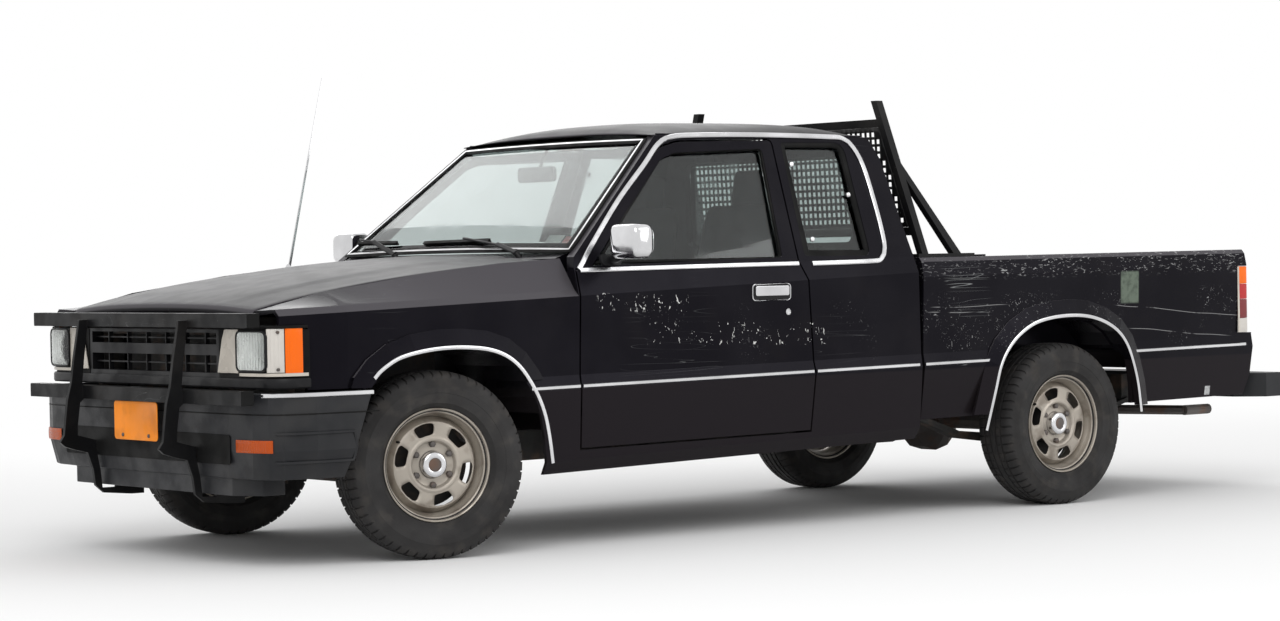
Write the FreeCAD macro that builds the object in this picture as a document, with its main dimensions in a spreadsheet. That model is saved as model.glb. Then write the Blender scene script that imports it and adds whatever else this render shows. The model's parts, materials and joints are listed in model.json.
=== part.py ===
import FreeCAD, Part
import math
import os

import Sketcher
from FreeCAD import Placement, Rotation, Vector

# An extended-cab pickup truck, in millimetres.
# X runs to the rear from the front axle, Y to the vehicle's right, Z up from the ground.
# The finished pieces are shifted along X so that the origin is under the middle of the truck.

doc = FreeCAD.newDocument("PickupTruck")
sheet = doc.addObject("Spreadsheet::Sheet", "Sizes")

SIZES = (
    # name, value, what it sets
    ("Wheelbase", 2985, "front axle to rear axle"),
    ("FrontReach", 869, "front axle to the front of the guard"),
    ("RearReach", 1308, "rear axle to the back of the rear bumper"),
    ("TrackHalf", 708.5, "centre line to the middle of a wheel"),
    ("Gap", 7, "shut line between outer panels"),
    ("Seat", 0.3, "clearance of a piece that sits in another"),
    ("SteerAngle", 12.5, "front wheels steered to the right"),
    ("KingpinHalf", 620, "centre line to a kingpin"),
    ("TyreRadius", 322, "tyre outside"),
    ("TyreWidth", 200, "tyre section"),
    ("RimRadius", 178, "bead seat of a wheel"),
    ("RimFlange", 195, "flange of a wheel"),
    ("RimWidth", 151, "over both flanges"),
    ("RimWall", 6, "wheel steel with its folds"),
    ("BoltCircle", 139.7, "wheel nut circle"),
    ("WheelBore", 46.5, "radius of the wheel's centre hole"),
    ("HubFace", 15, "wheel seat, outward of the middle of the wheel"),
    ("RotorRadius", 125, "brake disc or drum"),
    ("SpindleRadius", 18, "stub axle"),
    ("BodyHalf", 812, "half width at the doors"),
    ("SillHalf", 770, "half width at the bottom of the sill"),
    ("FlareReach", 64, "width of the swelling round a wheel arch"),
    ("FlareRise", 20, "how far an arch's lip stands out from the side"),
    ("BandHalf", 803, "half width just above the side strip"),
    ("BeltHalf", 788, "half width at the window line"),
    ("RoofHalf", 598, "half width at the drip rail"),
    ("WallSide", 105, "thickness of the cab's sides below the windows"),
    ("WallFrame", 40, "thickness of the window frames"),
    ("RoofEdge", 1462, "drip rail"),
    ("DoorFront", 565, "front edge of the doors"),
    ("DoorRear", 1640, "rear edge of the doors"),
    ("DoorInset", 10, "step round a door's inner shell"),
    ("CabFront", 470, "front of the hinge pillars"),
    ("CabRear", 2184, "back of the cab"),
    ("BedFront", 2212, "front of the load bed"),
    ("BedRear", 4092, "back of the bedsides"),
    ("BedFloor", 640, "top of the bed floor"),
    ("BedWall", 70, "thickness of the bedsides"),
    ("RailHalf", 390, "centre line to the middle of a frame rail"),
    ("RailWidth", 60, "width of a frame rail"),
    ("RailDepth", 110, "height of a frame rail"),
    ("GuardTube", 48, "side of the guard's square tube"),
    ("GuardHalf", 748, "centre line to the end of the guard's upper tube"),
    ("GuardPost", 350, "centre line to the middle of a guard's upright"),
    ("GuardPlate", 16, "thickness of the guard's uprights"),
    ("RackTube", 32, "side of the rack's tube"),
    ("RackFront", 2241, "front of the rack's uprights at their feet"),
    ("RackLean", 32, "how far the uprights lean forward"),
    ("RackHalf", 760, "centre line to an upright's foot"),
    ("RackTopHalf", 547, "centre line to an upright's top"),
    ("RackBase", 1010, "top of the rack's feet"),
    ("RackTop", 1609, "top of the rack's uprights"),
    ("GlassThick", 5, "side glass"),
    ("HingeBack", 26, "door hinge axis behind the door's front edge"),
    ("HingeIn", 10, "door hinge axis inside the door's skin"),
    ("HingePin", 4, "radius of a door's hinge pin"),
    ("HoodRear", 505, "rear edge of the hood"),
    ("HoodHinge", 1003, "height of the hood's hinge axis"),
    ("GateHingeIn", 30, "tailgate hinge axis ahead of the bedsides' back"),
    ("GateHinge", 605, "height of the tailgate's hinge axis"),
    ("TieArm", 118, "kingpin to the tie rod's end"),
    ("ColumnAngle", 25, "slope of the steering column"),
    ("SteerWheelX", 1000, "steering wheel behind the front axle"),
    ("SteerWheelY", 370, "steering wheel left of the centre line"),
    ("SteerWheelZ", 935, "height of the steering wheel's middle"),
    ("SteerRatio", 17, "turn of the steering wheel per turn of the front wheels"),
)


class Length:
    """A size that carries its value and the formula that gives it on the sheet."""

    def __init__(self, value, text):
        self.value = float(value)
        self.text = text

    def __add__(self, other):
        other = length(other)
        return Length(self.value + other.value, f"({self.text} + {other.text})")

    def __sub__(self, other):
        other = length(other)
        return Length(self.value - other.value, f"({self.text} - {other.text})")

    def __mul__(self, other):
        other = length(other)
        return Length(self.value * other.value, f"({self.text} * {other.text})")

    def __truediv__(self, other):
        other = length(other)
        return Length(self.value / other.value, f"({self.text} / {other.text})")

    def __radd__(self, other):
        return length(other) + self

    def __rsub__(self, other):
        return length(other) - self

    def __rmul__(self, other):
        return length(other) * self

    def __neg__(self):
        return Length(-self.value, f"(0 - {self.text})")

    def __float__(self):
        return self.value


def length(size):
    """Give a plain number the same form as a size of the sheet."""
    if isinstance(size, Length):
        return size
    text = f"{float(size):.6f}"
    return Length(size, text if size >= 0 else f"(0 - {text[1:]})")


class Sizes:
    """The sheet's sizes, by name."""


S = Sizes()
for row, (name, value, meaning) in enumerate(SIZES, 1):
    sheet.set(f"A{row}", meaning)
    sheet.set(f"B{row}", str(value))
    sheet.setAlias(f"B{row}", name)
    setattr(S, name, Length(value, f"Sizes.{name}"))
doc.recompute()

# Levels of the body side, each a straight line along the vehicle: height over the front axle, rise per length.
sill_line = lambda x: 253.5 + length(x) * 0.0216
trim_line = lambda x: 552 + length(x) * 0.011
shoulder_line = lambda x: 866 + length(x) * 0.0335
belt_line = lambda x: 963 + length(x) * 0.0165
rail_line = lambda x: 985.5 + length(x) * 0.0043

NODES = {}


def bind(thing, **formulas):
    """Tie properties of an object to sizes; two underscores stand for a dot."""
    for key, size in formulas.items():
        thing.setExpression(key.replace("__", "."), length(size).text)


def copy(name, source):
    """Another piece of the same form, with a place of its own."""
    other = doc.addObject("Part::Compound", name)
    other.Links = [source]
    return other


def node(label, thing, shifted=True):
    """Keep an object as one finished piece."""
    if shifted and any(path == ".Placement.Base.x" for path, _ in thing.ExpressionEngine):
        thing = copy(f"{label}_piece", thing)
    thing.Label = label
    if shifted:
        bind(thing, Placement__Base__x=S.FrontReach / 2 - S.RearReach / 2 - S.Wheelbase / 2)
    NODES[label] = thing
    return thing


def box(name, x, y, z):
    """A block between low and high places along each axis."""
    block = doc.addObject("Part::Box", name)
    low, high = zip(*[(length(a), length(b)) for a, b in (x, y, z)])
    bind(block, Length=high[0] - low[0], Width=high[1] - low[1], Height=high[2] - low[2],
         Placement__Base__x=low[0], Placement__Base__y=low[1], Placement__Base__z=low[2])
    return block


AXES = {"x": Rotation(Vector(0, 1, 0), 90), "y": Rotation(Vector(1, 0, 0), -90), "z": Rotation()}


def rod(name, axis, start, radius, reach, sides=12):
    """A round bar along an axis from a start point, in flat facets."""
    bar = doc.addObject("Part::Prism", name)
    bar.Polygon = sides
    bar.Placement = Placement(Vector(), AXES[axis])
    bind(bar, Circumradius=radius, Height=reach, Placement__Base__x=start[0],
         Placement__Base__y=start[1], Placement__Base__z=start[2])
    return bar


def facetted(name, axis, sides, stations):
    """A turned form in flat faces, which neither a loft nor a turned sketch gives, from place along the axis and radius."""
    turn = AXES[axis]
    rings = []
    for place, radius in stations:
        angles = [2 * math.pi * i / sides for i in range(sides)]
        rings.append([turn.multVec(Vector(float(radius) * math.cos(a), float(radius) * math.sin(a), float(place)))
                      for a in angles])
    outlines = [rings[0], rings[-1]] + [[low[i - 1], low[i], high[i], high[i - 1]]
                                        for low, high in zip(rings, rings[1:]) for i in range(sides)]
    form = doc.addObject("Part::Feature", name)
    form.Shape = Part.Solid(Part.Shell([Part.Face(Part.makePolygon(points + points[:1])) for points in outlines]))
    return form


def cut(name, base, *tools):
    """Take tools away from a base."""
    for count, tool in enumerate(tools):
        piece = doc.addObject("Part::Cut", f"{name}{count}")
        piece.Base = base
        piece.Tool = tool
        base = piece
    return base


def fuse(name, *parts):
    """Join parts."""
    joined = doc.addObject("Part::MultiFuse", name)
    joined.Shapes = list(parts)
    return joined


def common(name, first, second):
    """Keep what two parts share."""
    shared = doc.addObject("Part::MultiCommon", name)
    shared.Shapes = [first, second]
    return shared


def mirror(name, source):
    """The same piece on the other side of the centre line."""
    other = doc.addObject("Part::Mirroring", name)
    other.Source = source
    other.Normal = (0, 1, 0)
    return other


def eased(corners):
    """The outline with each rounded corner, one with a radius as its third value, drawn in short straight edges."""
    places = [Vector(float(c[0]), float(c[1]), 0) for c in corners]
    result = []
    for i, (corner, place) in enumerate(zip(corners, places)):
        if len(corner) < 3:
            result.append(corner)
            continue
        back = (places[i - 1] - place).normalize()
        ahead = (places[(i + 1) % len(places)] - place).normalize()
        half = back.getAngle(ahead) / 2
        turn = math.pi - 2 * half
        middle = (back + ahead).normalize()
        across = (ahead - back).normalize()
        steps = max(1, round(math.degrees(turn) / 30))
        for k in range(steps + 1):
            angle = turn * (k / steps - 0.5)
            offset = middle * (1 / math.sin(half) - math.cos(angle)) + across * math.sin(angle)
            result.append((corner[0] + corner[2] * offset.x, corner[1] + corner[2] * offset.y))
    return result


def sketch_outline(body, plane, corners, offset=0):
    """A closed outline on one of a body's planes, with every corner tied to the sheet."""
    sketch = body.newObject("Sketcher::SketchObject", f"{body.Name}Outline")
    support = next(item for item in body.Origin.OriginFeatures if item.Role == plane)
    sketch.AttachmentSupport = [(support, "")]
    sketch.MapMode = "FlatFace"
    bind(sketch, AttachmentOffset__Base__z=offset)
    corners = eased(corners)
    places = [Vector(float(x), float(y), 0) for x, y in corners]
    lines = [sketch.addGeometry(Part.LineSegment(place, places[(i + 1) % len(places)]))
             for i, place in enumerate(places)]
    rules, formulas = [], []
    for i, (x, y) in enumerate(corners):
        rules.append(Sketcher.Constraint("Coincident", lines[i - 1], 2, lines[i], 1))
        for kind, size in (("DistanceX", x), ("DistanceY", y)):
            rules.append(Sketcher.Constraint(kind, -1, 1, lines[i], 1, float(size)))
            formulas.append((len(rules) - 1, length(size).text))
    sketch.addConstraint(rules)
    for index, text in formulas:
        sketch.setExpression(f"Constraints[{index}]", text)
    return sketch


def prism(name, plane, corners, low, high):
    """A closed outline made solid between two distances from a plane, along its normal."""
    body = doc.addObject("PartDesign::Body", name)
    sketch = sketch_outline(body, plane, corners, low)
    pad = body.newObject("PartDesign::Pad", f"{name}Pad")
    pad.Profile = sketch
    bind(pad, Length=length(high) - low)
    return body


def loft(name, stations, plane="YZ_Plane"):
    """A body through cross-sections, given as pairs of place along the plane's normal and outline."""
    body = doc.addObject("PartDesign::Body", name)
    sketches = [sketch_outline(body, plane, outline, place) for place, outline in stations]
    skin = body.newObject("PartDesign::AdditiveLoft", f"{name}Loft")
    skin.Profile = sketches[0]
    skin.Sections = sketches[1:]
    skin.Ruled = True
    return body


def octagon(across, up, radius):
    """The corners of a pipe's section."""
    return [(across + radius * math.cos(math.radians(45 * i + 22.5)), up + radius * math.sin(math.radians(45 * i + 22.5)))
            for i in range(8)]


SIDE, PLAN, ACROSS = "XZ_Plane", "XY_Plane", "YZ_Plane"

# Wheels and tyres: each is modelled upright on its own middle, outside towards -Y, then put in place.
RIM_HALF = S.RimWidth / 2
TYRE_HALF = S.TyreWidth / 2
WHEEL_PLACES = (
    # name, place along X, side of the centre line, steered
    ("front_left", length(0), -1, True),
    ("front_right", length(0), 1, True),
    ("rear_left", S.Wheelbase, -1, False),
    ("rear_right", S.Wheelbase, 1, False),
)
SHIFT = S.FrontReach / 2 - S.RearReach / 2 - S.Wheelbase / 2


def sine(angle):
    """The sine of an angle in degrees, with its formula."""
    return Length(math.sin(math.radians(angle.value)), f"sin({angle.text} * 1 deg)")


def cosine(angle):
    """The cosine of an angle in degrees, with its formula."""
    return Length(math.cos(math.radians(angle.value)), f"cos({angle.text} * 1 deg)")


def at_wheel(thing, x, side, steered, reach):
    """Stand a piece, modelled on the middle of a wheel or on its kingpin, at that wheel."""
    turn = -S.SteerAngle if steered else length(0)
    bind(thing, Placement__Rotation__Angle=turn + (180 if side > 0 else 0),
         Placement__Base__x=SHIFT + x - reach * sine(turn) * side,
         Placement__Base__y=(S.TrackHalf - reach + reach * cosine(turn)) * side,
         Placement__Base__z=S.TyreRadius)


WHEEL_SIDES, HUB_SIDES = 24, 12
bead = S.RimRadius + S.Seat
bead_half = RIM_HALF - S.RimWall * 2 - 1
flange_in = RIM_HALF - S.RimWall
tyre_half_line = [
    # out from the middle of the wheel, radius
    (S.TyreWidth * 0.33, S.TyreRadius), (S.TyreWidth * 0.44, S.TyreRadius - 16), (TYRE_HALF, S.RimFlange + 60),
    (S.TyreWidth * 0.42, S.RimFlange + 14), (flange_in - 0.2, S.RimFlange + 5),
]
tyre_solid = facetted("TyreSolid", "y", WHEEL_SIDES, [(-y, r) for y, r in reversed(tyre_half_line)] + tyre_half_line)
tyre_bore = facetted("TyreBore", "y", WHEEL_SIDES, [
    (-flange_in + 0.1, S.RimFlange + 0.4), (-bead_half, bead), (bead_half, bead), (flange_in - 0.1, S.RimFlange + 0.4)])
tyre_form = cut("TyreForm", tyre_solid, tyre_bore)
barrel = cut("WheelBarrel", facetted("BarrelOutside", "y", WHEEL_SIDES, [
    (-RIM_HALF, S.RimFlange), (-flange_in, S.RimFlange), (-flange_in + S.RimWall, S.RimRadius), (0, S.RimRadius - 16),
    (flange_in - S.RimWall, S.RimRadius), (flange_in, S.RimFlange), (RIM_HALF, S.RimFlange)]),
    facetted("BarrelInside", "y", WHEEL_SIDES, [
        (-RIM_HALF - 0.1, S.RimFlange - 9), (-RIM_HALF + 16, S.RimRadius - S.RimWall), (0, S.RimRadius - 22),
        (RIM_HALF - 16, S.RimRadius - S.RimWall), (RIM_HALF + 0.1, S.RimFlange - 9)]))
dish = S.RimRadius - 36
face = cut("WheelFace", facetted("FaceOutside", "y", WHEEL_SIDES, [(-46, dish), (-14, dish + 21.5)]),
           facetted("FaceInside", "y", WHEEL_SIDES, [(-40, dish - 4), (-13.9, dish + 15)]))
window_form = prism("WheelWindowForm", SIDE, [(-32, 102), (32, 102), (46, dish - 2), (-46, dish - 2)], -100, 100)
windows = []
for i in range(6):
    window = copy(f"WheelWindow{i}", window_form)
    window.Placement = Placement(Vector(), Rotation(Vector(0, 1, 0), 60 * i))
    windows.append(window)
hub_edge = S.BoltCircle / 2 + 14
hub_dish = cut("WheelHub", facetted("HubOutside", "y", HUB_SIDES, [(-45, hub_edge + 14), (-S.HubFace, hub_edge)]),
               facetted("HubRecess", "y", HUB_SIDES, [(-45.1, hub_edge + 8), (-28, hub_edge - 4)]))
hub_hole = rod("FaceHole", "y", (0, -47, 0), hub_edge + 8, 20, HUB_SIDES)
cap = facetted("WheelCap", "y", HUB_SIDES, [(-60, S.WheelBore - 9), (-52, S.WheelBore - 2), (-27, S.WheelBore)])
brake_hat = rod("BrakeHat", "y", (0, -S.HubFace, 0), S.BoltCircle / 2 + 10, S.HubFace + 43)
brake_disc = rod("BrakeDisc", "y", (0, 42, 0), S.RotorRadius, 12, 20)
cap_space = rod("CapSpace", "y", (0, -44, 0), S.WheelBore - 12, 32)
stub_bore = rod("StubBore", "y", (0, -44, 0), S.SpindleRadius + 0.5, 100, 24)
wheel_form = cut("WheelForm", fuse("WheelJoined", barrel, cut("WheelDisc", face, *windows, hub_hole), hub_dish, cap,
                                   brake_hat, brake_disc), cap_space, stub_bore)
for name, x, side, steered in WHEEL_PLACES:
    reach = S.TrackHalf - S.KingpinHalf
    for kind, form in (("tyre", tyre_form), ("wheel", wheel_form)):
        piece = node(f"{kind}_{name}", copy(f"{kind}_{name}", form), False)
        at_wheel(piece, x, side, steered, reach)

# Chassis frame: two rails that rise over the rear axle, with cross members.
RAIL_LINE = (
    # along X, middle height
    (-640, 410), (-330, 410), (-220, 440), (330, 440), (500, 345), (2330, 350), (2660, 505), (3330, 505),
    (3600, 430), (4030, 430),
)
rail = prism("Rail", SIDE, [(x, z + S.RailDepth / 2) for x, z in RAIL_LINE]
             + [(x, z - S.RailDepth / 2) for x, z in reversed(RAIL_LINE)],
             S.RailHalf - S.RailWidth / 2, S.RailHalf + S.RailWidth / 2)
CROSS_MEMBERS = (
    # front, back, bottom, top
    (-600, -540, 380, 440), (-120, 120, 300, 440), (900, 960, 310, 379.7), (1700, 1760, 310, 380),
    (2560, 2620, 475, 530), (3400, 3450, 450, 510), (3960, 4020, 395, 465),
)
inner = S.RailHalf - S.RailWidth / 2
members = [box(f"CrossMember{i}", (front, back), (-inner, inner), (low, high))
           for i, (front, back, low, high) in enumerate(CROSS_MEMBERS)]
body_mounts = [rod(f"BodyMount{i}", "z", (x, y, low - 2), 35, 411.7 - low + 2)
               for i, (x, y, low) in enumerate(((700, -390, 400.5), (700, 390, 400.5), (2000, -390, 404), (2000, 390, 404)))]
node("chassis_frame", fuse("Frame", rail, mirror("RailRight", rail), *members, *body_mounts))

# Front suspension arms on both sides of the front cross member.
lower_arm = prism("LowerArm", PLAN, [
    (-80, -inner - S.RailWidth - 1), (-24, -S.KingpinHalf - 26, 12), (24, -S.KingpinHalf - 26, 12),
    (80, -inner - S.RailWidth - 1)], 200, 222)
lower_mount = box("LowerMount", (-80, 80), (-inner - S.RailWidth - 8, -inner - 10), (200, 384.7))
upper_arm = prism("UpperArm", PLAN, [
    (-70, -inner - S.RailWidth - 4), (-20, -S.KingpinHalf - 22, 10), (20, -S.KingpinHalf - 22, 10),
    (70, -inner - S.RailWidth - 4)], 440, 456)
upper_mount = box("UpperMount", (-70, 70), (-inner - S.RailWidth - 20, -inner - S.RailWidth - 0.3), (400, 490))
arms = fuse("ArmsLeft", lower_arm, lower_mount, upper_arm, upper_mount)
node("front_suspension", fuse("Arms", arms, mirror("ArmsRight", arms)))

# Steering knuckles on their kingpins, with stub axle and steering arm.
post = rod("KnucklePost", "z", (0, 0, -99.5), 22, 217)
spindle = rod("KnuckleSpindle", "y", (0, -107, 0), S.SpindleRadius, 107)
shield = rod("KnuckleShield", "y", (0, -30, 0), 60, 20)
tie_arm = prism("KnuckleArm", PLAN, [(-20, -18), (-20, 18), (S.TieArm + 13, 12, 8), (S.TieArm + 13, -12, 8)], -70, -48)
knuckle_form = fuse("KnuckleForm", post, spindle, shield, tie_arm)
knuckle_mirror = mirror("KnuckleMirror", knuckle_form)
for name, side, form in (("left", -1, knuckle_form), ("right", 1, knuckle_mirror)):
    piece = node(f"knuckle_{name}", copy(f"knuckle_{name}", form), False)
    bind(piece, Placement__Rotation__Angle=-S.SteerAngle, Placement__Base__x=SHIFT,
         Placement__Base__y=S.KingpinHalf * side, Placement__Base__z=S.TyreRadius)

# Tie rod between the knuckles' arms, with a ball stud at each end.
arm_x = S.TieArm * cosine(S.SteerAngle)
arm_y = S.TieArm * sine(S.SteerAngle)
bar = rod("TieBar", "y", (0, -S.KingpinHalf, 0), 11, S.KingpinHalf * 2)
studs = [rod(f"TieEnd{i}", "z", (0, S.KingpinHalf * side, -14), 13, 35.7) for i, side in enumerate((-1, 1))]
tie_rod = node("tie_rod", fuse("TieRod", bar, *studs), False)
bind(tie_rod, Placement__Base__x=SHIFT + arm_x, Placement__Base__y=-arm_y, Placement__Base__z=S.TyreRadius - 92)

# Rear axle with its differential, and the leaf springs under it.
axle_tube = rod("AxleTube", "y", (S.Wheelbase, -S.TrackHalf + 78, S.TyreRadius), 38, (S.TrackHalf - 78) * 2)
axle_stub = rod("AxleStub", "y", (S.Wheelbase, -S.TrackHalf - 2, S.TyreRadius), S.SpindleRadius, S.TrackHalf * 2 + 4)
differential = facetted("Differential", "y", 12, [(-95, 70), (-45, 132), (45, 132), (95, 70)])
bind(differential, Placement__Base__x=S.Wheelbase, Placement__Base__z=S.TyreRadius)
nose = rod("AxleNose", "x", (S.Wheelbase - 230, 0, S.TyreRadius), 45, 230)
node("rear_axle", fuse("RearAxle", axle_tube, axle_stub, differential, nose))
SPRING = (
    # along X, top of the leaves
    (-640, 410), (-320, 300), (0, 270), (320, 300), (660, 395),
)
leaves = prism("Leaves", SIDE, [(S.Wheelbase + x, z) for x, z in SPRING]
               + [(S.Wheelbase + x, z - 16 - 24 * (1 - abs(x) / 700)) for x, z in reversed(SPRING)],
               S.RailHalf + S.RailWidth / 2 + 40, S.RailHalf + S.RailWidth / 2 + 100)
pad = box("SpringPad", (S.Wheelbase - 60, S.Wheelbase + 60),
          (-S.RailHalf - S.RailWidth / 2 - 100, -S.RailHalf - S.RailWidth / 2 - 40), (262, 283.7))
hangers = [box(f"SpringHanger{i}", (S.Wheelbase + x, S.Wheelbase + x + 40),
               (-S.RailHalf - S.RailWidth / 2 - 90, -S.RailHalf - S.RailWidth / 2 - 0.3), (z, z + 120))
           for i, (x, z) in enumerate(((-650, 370), (630, 370)))]
springs = fuse("SpringsLeft", leaves, pad, *hangers)
node("leaf_springs", fuse("Springs", springs, mirror("SpringsRight", springs)))

# Engine, gearbox with propeller shaft, exhaust and fuel tank.
node("engine", box("Engine", (-260, 330), (-240, 240), (445, 830)))
gearbox = prism("Gearbox", SIDE, [(330.3, 380), (330.3, 620), (495, 492), (1100, 478), (1100, 380)], -120, 120)
shaft = rod("PropellerShaft", "x", (1100, 0, 430), 38, S.Wheelbase - 231 - 1100)
shaft_end = prism("ShaftJoint", SIDE, [(S.Wheelbase - 330, 350), (S.Wheelbase - 330, 430),
                                       (S.Wheelbase - 231, 380), (S.Wheelbase - 231, 290)], -40, 40)
node("driveline", fuse("Driveline", gearbox, shaft, shaft_end))
muffler = rod("Muffler", "x", (1900, 270, 280), 75, 520)
pipe = rod("ExhaustPipe", "x", (275, 270, 280), 25, 1630)
down_pipe = rod("DownPipe", "z", (300, 270, 255), 25, 370)
manifold = box("Manifold", (275, 325), (240.3, 280), (570, 620))
TAIL_PIPE = (
    # along X, height of its middle
    (2415, 280), (2700, 290), (2850, 422), (3120, 422), (3300, 333), (3540, 333),
)
pipe_over = loft("PipeOverAxle", [(x, octagon(270, z, 21)) for x, z in TAIL_PIPE])
pipe_across = loft("PipeAcross", [(-285, octagon(3518, 333, 21)), (640, octagon(3868, 333, 21))], SIDE)
pipe_end = rod("PipeEnd", "x", (3852, -640, 333), 21, 150)
exhaust_hanger = box("ExhaustHanger", (2150, 2180), (290, inner - S.Seat), (325, 340))
node("exhaust", fuse("Exhaust", muffler, pipe, down_pipe, manifold, pipe_over, pipe_across, pipe_end,
                         exhaust_hanger))
tank = prism("FuelTank", SIDE, [(1790, 260, 30), (1790, 400, 20), (2500, 400, 20), (2500, 260, 30)], 70, 340)
tank_straps = [box(f"TankStrap{i}", (x, x + 40), (-inner + S.Seat, -335), (320, 350)) for i, x in enumerate((1850, 2250))]
node("fuel_tank", fuse("TankWithStraps", tank, *tank_straps))


def grown(corners, by):
    """The same outline with every side moved outward, or inward where the distance is negative."""
    flat = [(float(c[0]), float(c[1])) for c in corners]
    count = len(flat)
    area = sum(flat[i - 1][0] * flat[i][1] - flat[i][0] * flat[i - 1][1] for i in range(count))
    result = []
    for i, corner in enumerate(corners):
        (ax, ay), (bx, by_), (cx, cy) = flat[i - 1], flat[i], flat[(i + 1) % count]
        before = Vector(by_ - ay, ax - bx, 0).normalize()
        after = Vector(cy - by_, bx - cx, 0).normalize()
        miter = (before + after) * ((1 if area > 0 else -1) / (1 + before.dot(after)))
        bend = [corner[2] + by * (1 if area * ((bx - ax) * (cy - by_) - (by_ - ay) * (cx - bx)) > 0 else -1)
                ] if len(corner) > 2 else []
        result.append((corner[0] + by * miter.x, corner[1] + by * miter.y, *bend))
    return result


def side_skin(name, stations, wall, top=None):
    """The left side of the body between its places along X, from the sill to the drip rail."""
    outlines = []
    for x in stations:
        sill, trim, shoulder, belt = sill_line(x), trim_line(x), shoulder_line(x), belt_line(x)
        outlines.append((x, [
            (-S.SillHalf, sill), (-S.BodyHalf + 12, sill + 45), (-S.BodyHalf, trim), (-S.BandHalf, trim + 50),
            (-S.BodyHalf, shoulder), (-S.BeltHalf, belt), (-S.RoofHalf, S.RoofEdge),
            (-S.RoofHalf + S.WallFrame, S.RoofEdge), (-S.BeltHalf + S.WallFrame, belt),
            (-S.BodyHalf + wall, belt), (-S.BodyHalf + wall, sill),
        ]))
    return loft(name, outlines)


# Side outlines of the cab: the whole side, the door in it and the windows.
FAR = 1000
inner_half = S.BodyHalf - S.WallSide
CAB_OUTLINE = [
    (S.DoorFront - S.Gap, 150), (S.DoorFront - S.Gap, 985), (S.DoorFront + 5, 1022), (1084, S.RoofEdge + 5),
    (S.CabRear - 60, S.RoofEdge + 5), (S.CabRear - 24, 1380), (S.CabRear - 12, 1150), (S.CabRear, 1000),
    (S.CabRear + 16, 620), (S.CabRear, 150),
]
DOOR_OUTLINE = [
    (S.DoorFront, 350), (S.DoorFront + 4, 972), (S.DoorFront + 103, 1062), (S.DoorFront + 272, 1216),
    (S.DoorFront + 520, 1415, 60), (S.DoorFront + 610, 1438, 120), (S.DoorRear - 10, S.RoofEdge - 14, 15),
    (S.DoorRear - 28, 1202), (S.DoorRear - 42, 990), (S.DoorRear - 15, 918), (S.DoorRear + 13, 575),
    (S.DoorRear - 8, 362),
]
DOOR_WINDOW = [
    (S.DoorFront + 78, 990), (S.DoorFront + 284, 1176), (S.DoorFront + 510, 1372, 30),
    (S.DoorFront + 585, 1398, 60), (S.DoorRear - 64, 1416, 16), (S.DoorRear - 112, 1006, 14),
]
QUARTER_WINDOW = [
    (S.DoorRear - 2, 1010, 12), (S.DoorRear + 36, 1440, 12), (S.CabRear - 192, 1442, 40), (S.CabRear - 218, 1006, 30),
]
cab_stations = (S.DoorFront - S.Gap, S.CabRear + 20)
cab_skin = side_skin("CabSkin", cab_stations, S.WallSide)
door_skin = side_skin("DoorSkin", cab_stations, S.WallSide)

door_hole = prism("DoorHole", SIDE, grown(DOOR_OUTLINE, S.Gap), 0, FAR)
quarter_hole = prism("QuarterHole", SIDE, QUARTER_WINDOW, 0, FAR)
side_sheet = cut("CabSide", common("CabSidePanel", cab_skin, prism("CabOutline", SIDE, CAB_OUTLINE, 0, FAR)),
                 door_hole, quarter_hole)
hinge_pillar = box("HingePillar", (S.CabFront, S.DoorFront - S.Gap), (-S.SillHalf, -inner_half + S.Gap - S.Seat), (330, 885))
hinge_x = S.DoorFront + S.HingeBack
hinge_y = S.HingeIn - S.BodyHalf
straps, hinge_spaces = [], []
for i, low in enumerate((470, 790)):
    straps += [
        box(f"HingeArm{i}", (hinge_x - 4, hinge_x + 4), (hinge_y, hinge_y + 46), (low, low + 50)),
        box(f"HingeStrap{i}", (S.DoorFront - S.Gap - 1, hinge_x + 4), (hinge_y + 38, hinge_y + 46), (low, low + 50)),
        rod(f"HingePin{i}", "z", (hinge_x, hinge_y, low - 18), S.HingePin, 86, 16)]
    hinge_spaces += [
        box(f"HingeSpace{i}", (S.DoorFront - 20, hinge_x + 12), (hinge_y - 4, hinge_y + 150), (low - 6.5, low + 56.5)),
        rod(f"HingeHole{i}", "z", (hinge_x, hinge_y, low - 24), S.HingePin + 0.4, 98, 16)]
cab_left = node("cab_side_left", fuse("CabSideLeft", side_sheet, hinge_pillar, *straps))
node("cab_side_right", mirror("CabSideRight", cab_left), False)
cab_space = loft("CabSpace", [(x, [
    (-inner_half + S.Seat, 0), (-inner_half + S.Seat, belt_line(x)),
    (-S.BeltHalf + S.WallFrame + S.Seat, belt_line(x)), (-S.RoofHalf + S.WallFrame + S.Seat, S.RoofEdge),
    (S.RoofHalf - S.WallFrame - S.Seat, S.RoofEdge), (S.BeltHalf - S.WallFrame - S.Seat, belt_line(x)),
    (inner_half - S.Seat, belt_line(x)), (inner_half - S.Seat, 0)]) for x in cab_stations])

# Doors: the shell is narrower than the outer panel, so that it clears the pillar as it swings.
door_panel = common("DoorPanel", door_skin, prism("DoorOutline", SIDE, DOOR_OUTLINE, S.BeltHalf - 220, FAR))
shell_cut = cut("DoorEdge", box("DoorEdgeBlock", (400, 1800), (-S.BodyHalf + 22, -400), (300, 960)),
                prism("DoorShell", SIDE, [c[:2] for c in grown(DOOR_OUTLINE, -S.DoorInset)], -FAR, FAR))
door_left = node("door_left", cut("Door", door_panel, *hinge_spaces,
                                  prism("DoorWindow", SIDE, DOOR_WINDOW, 0, FAR), shell_cut))
node("door_right", mirror("DoorRight", door_left), False)


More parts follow.
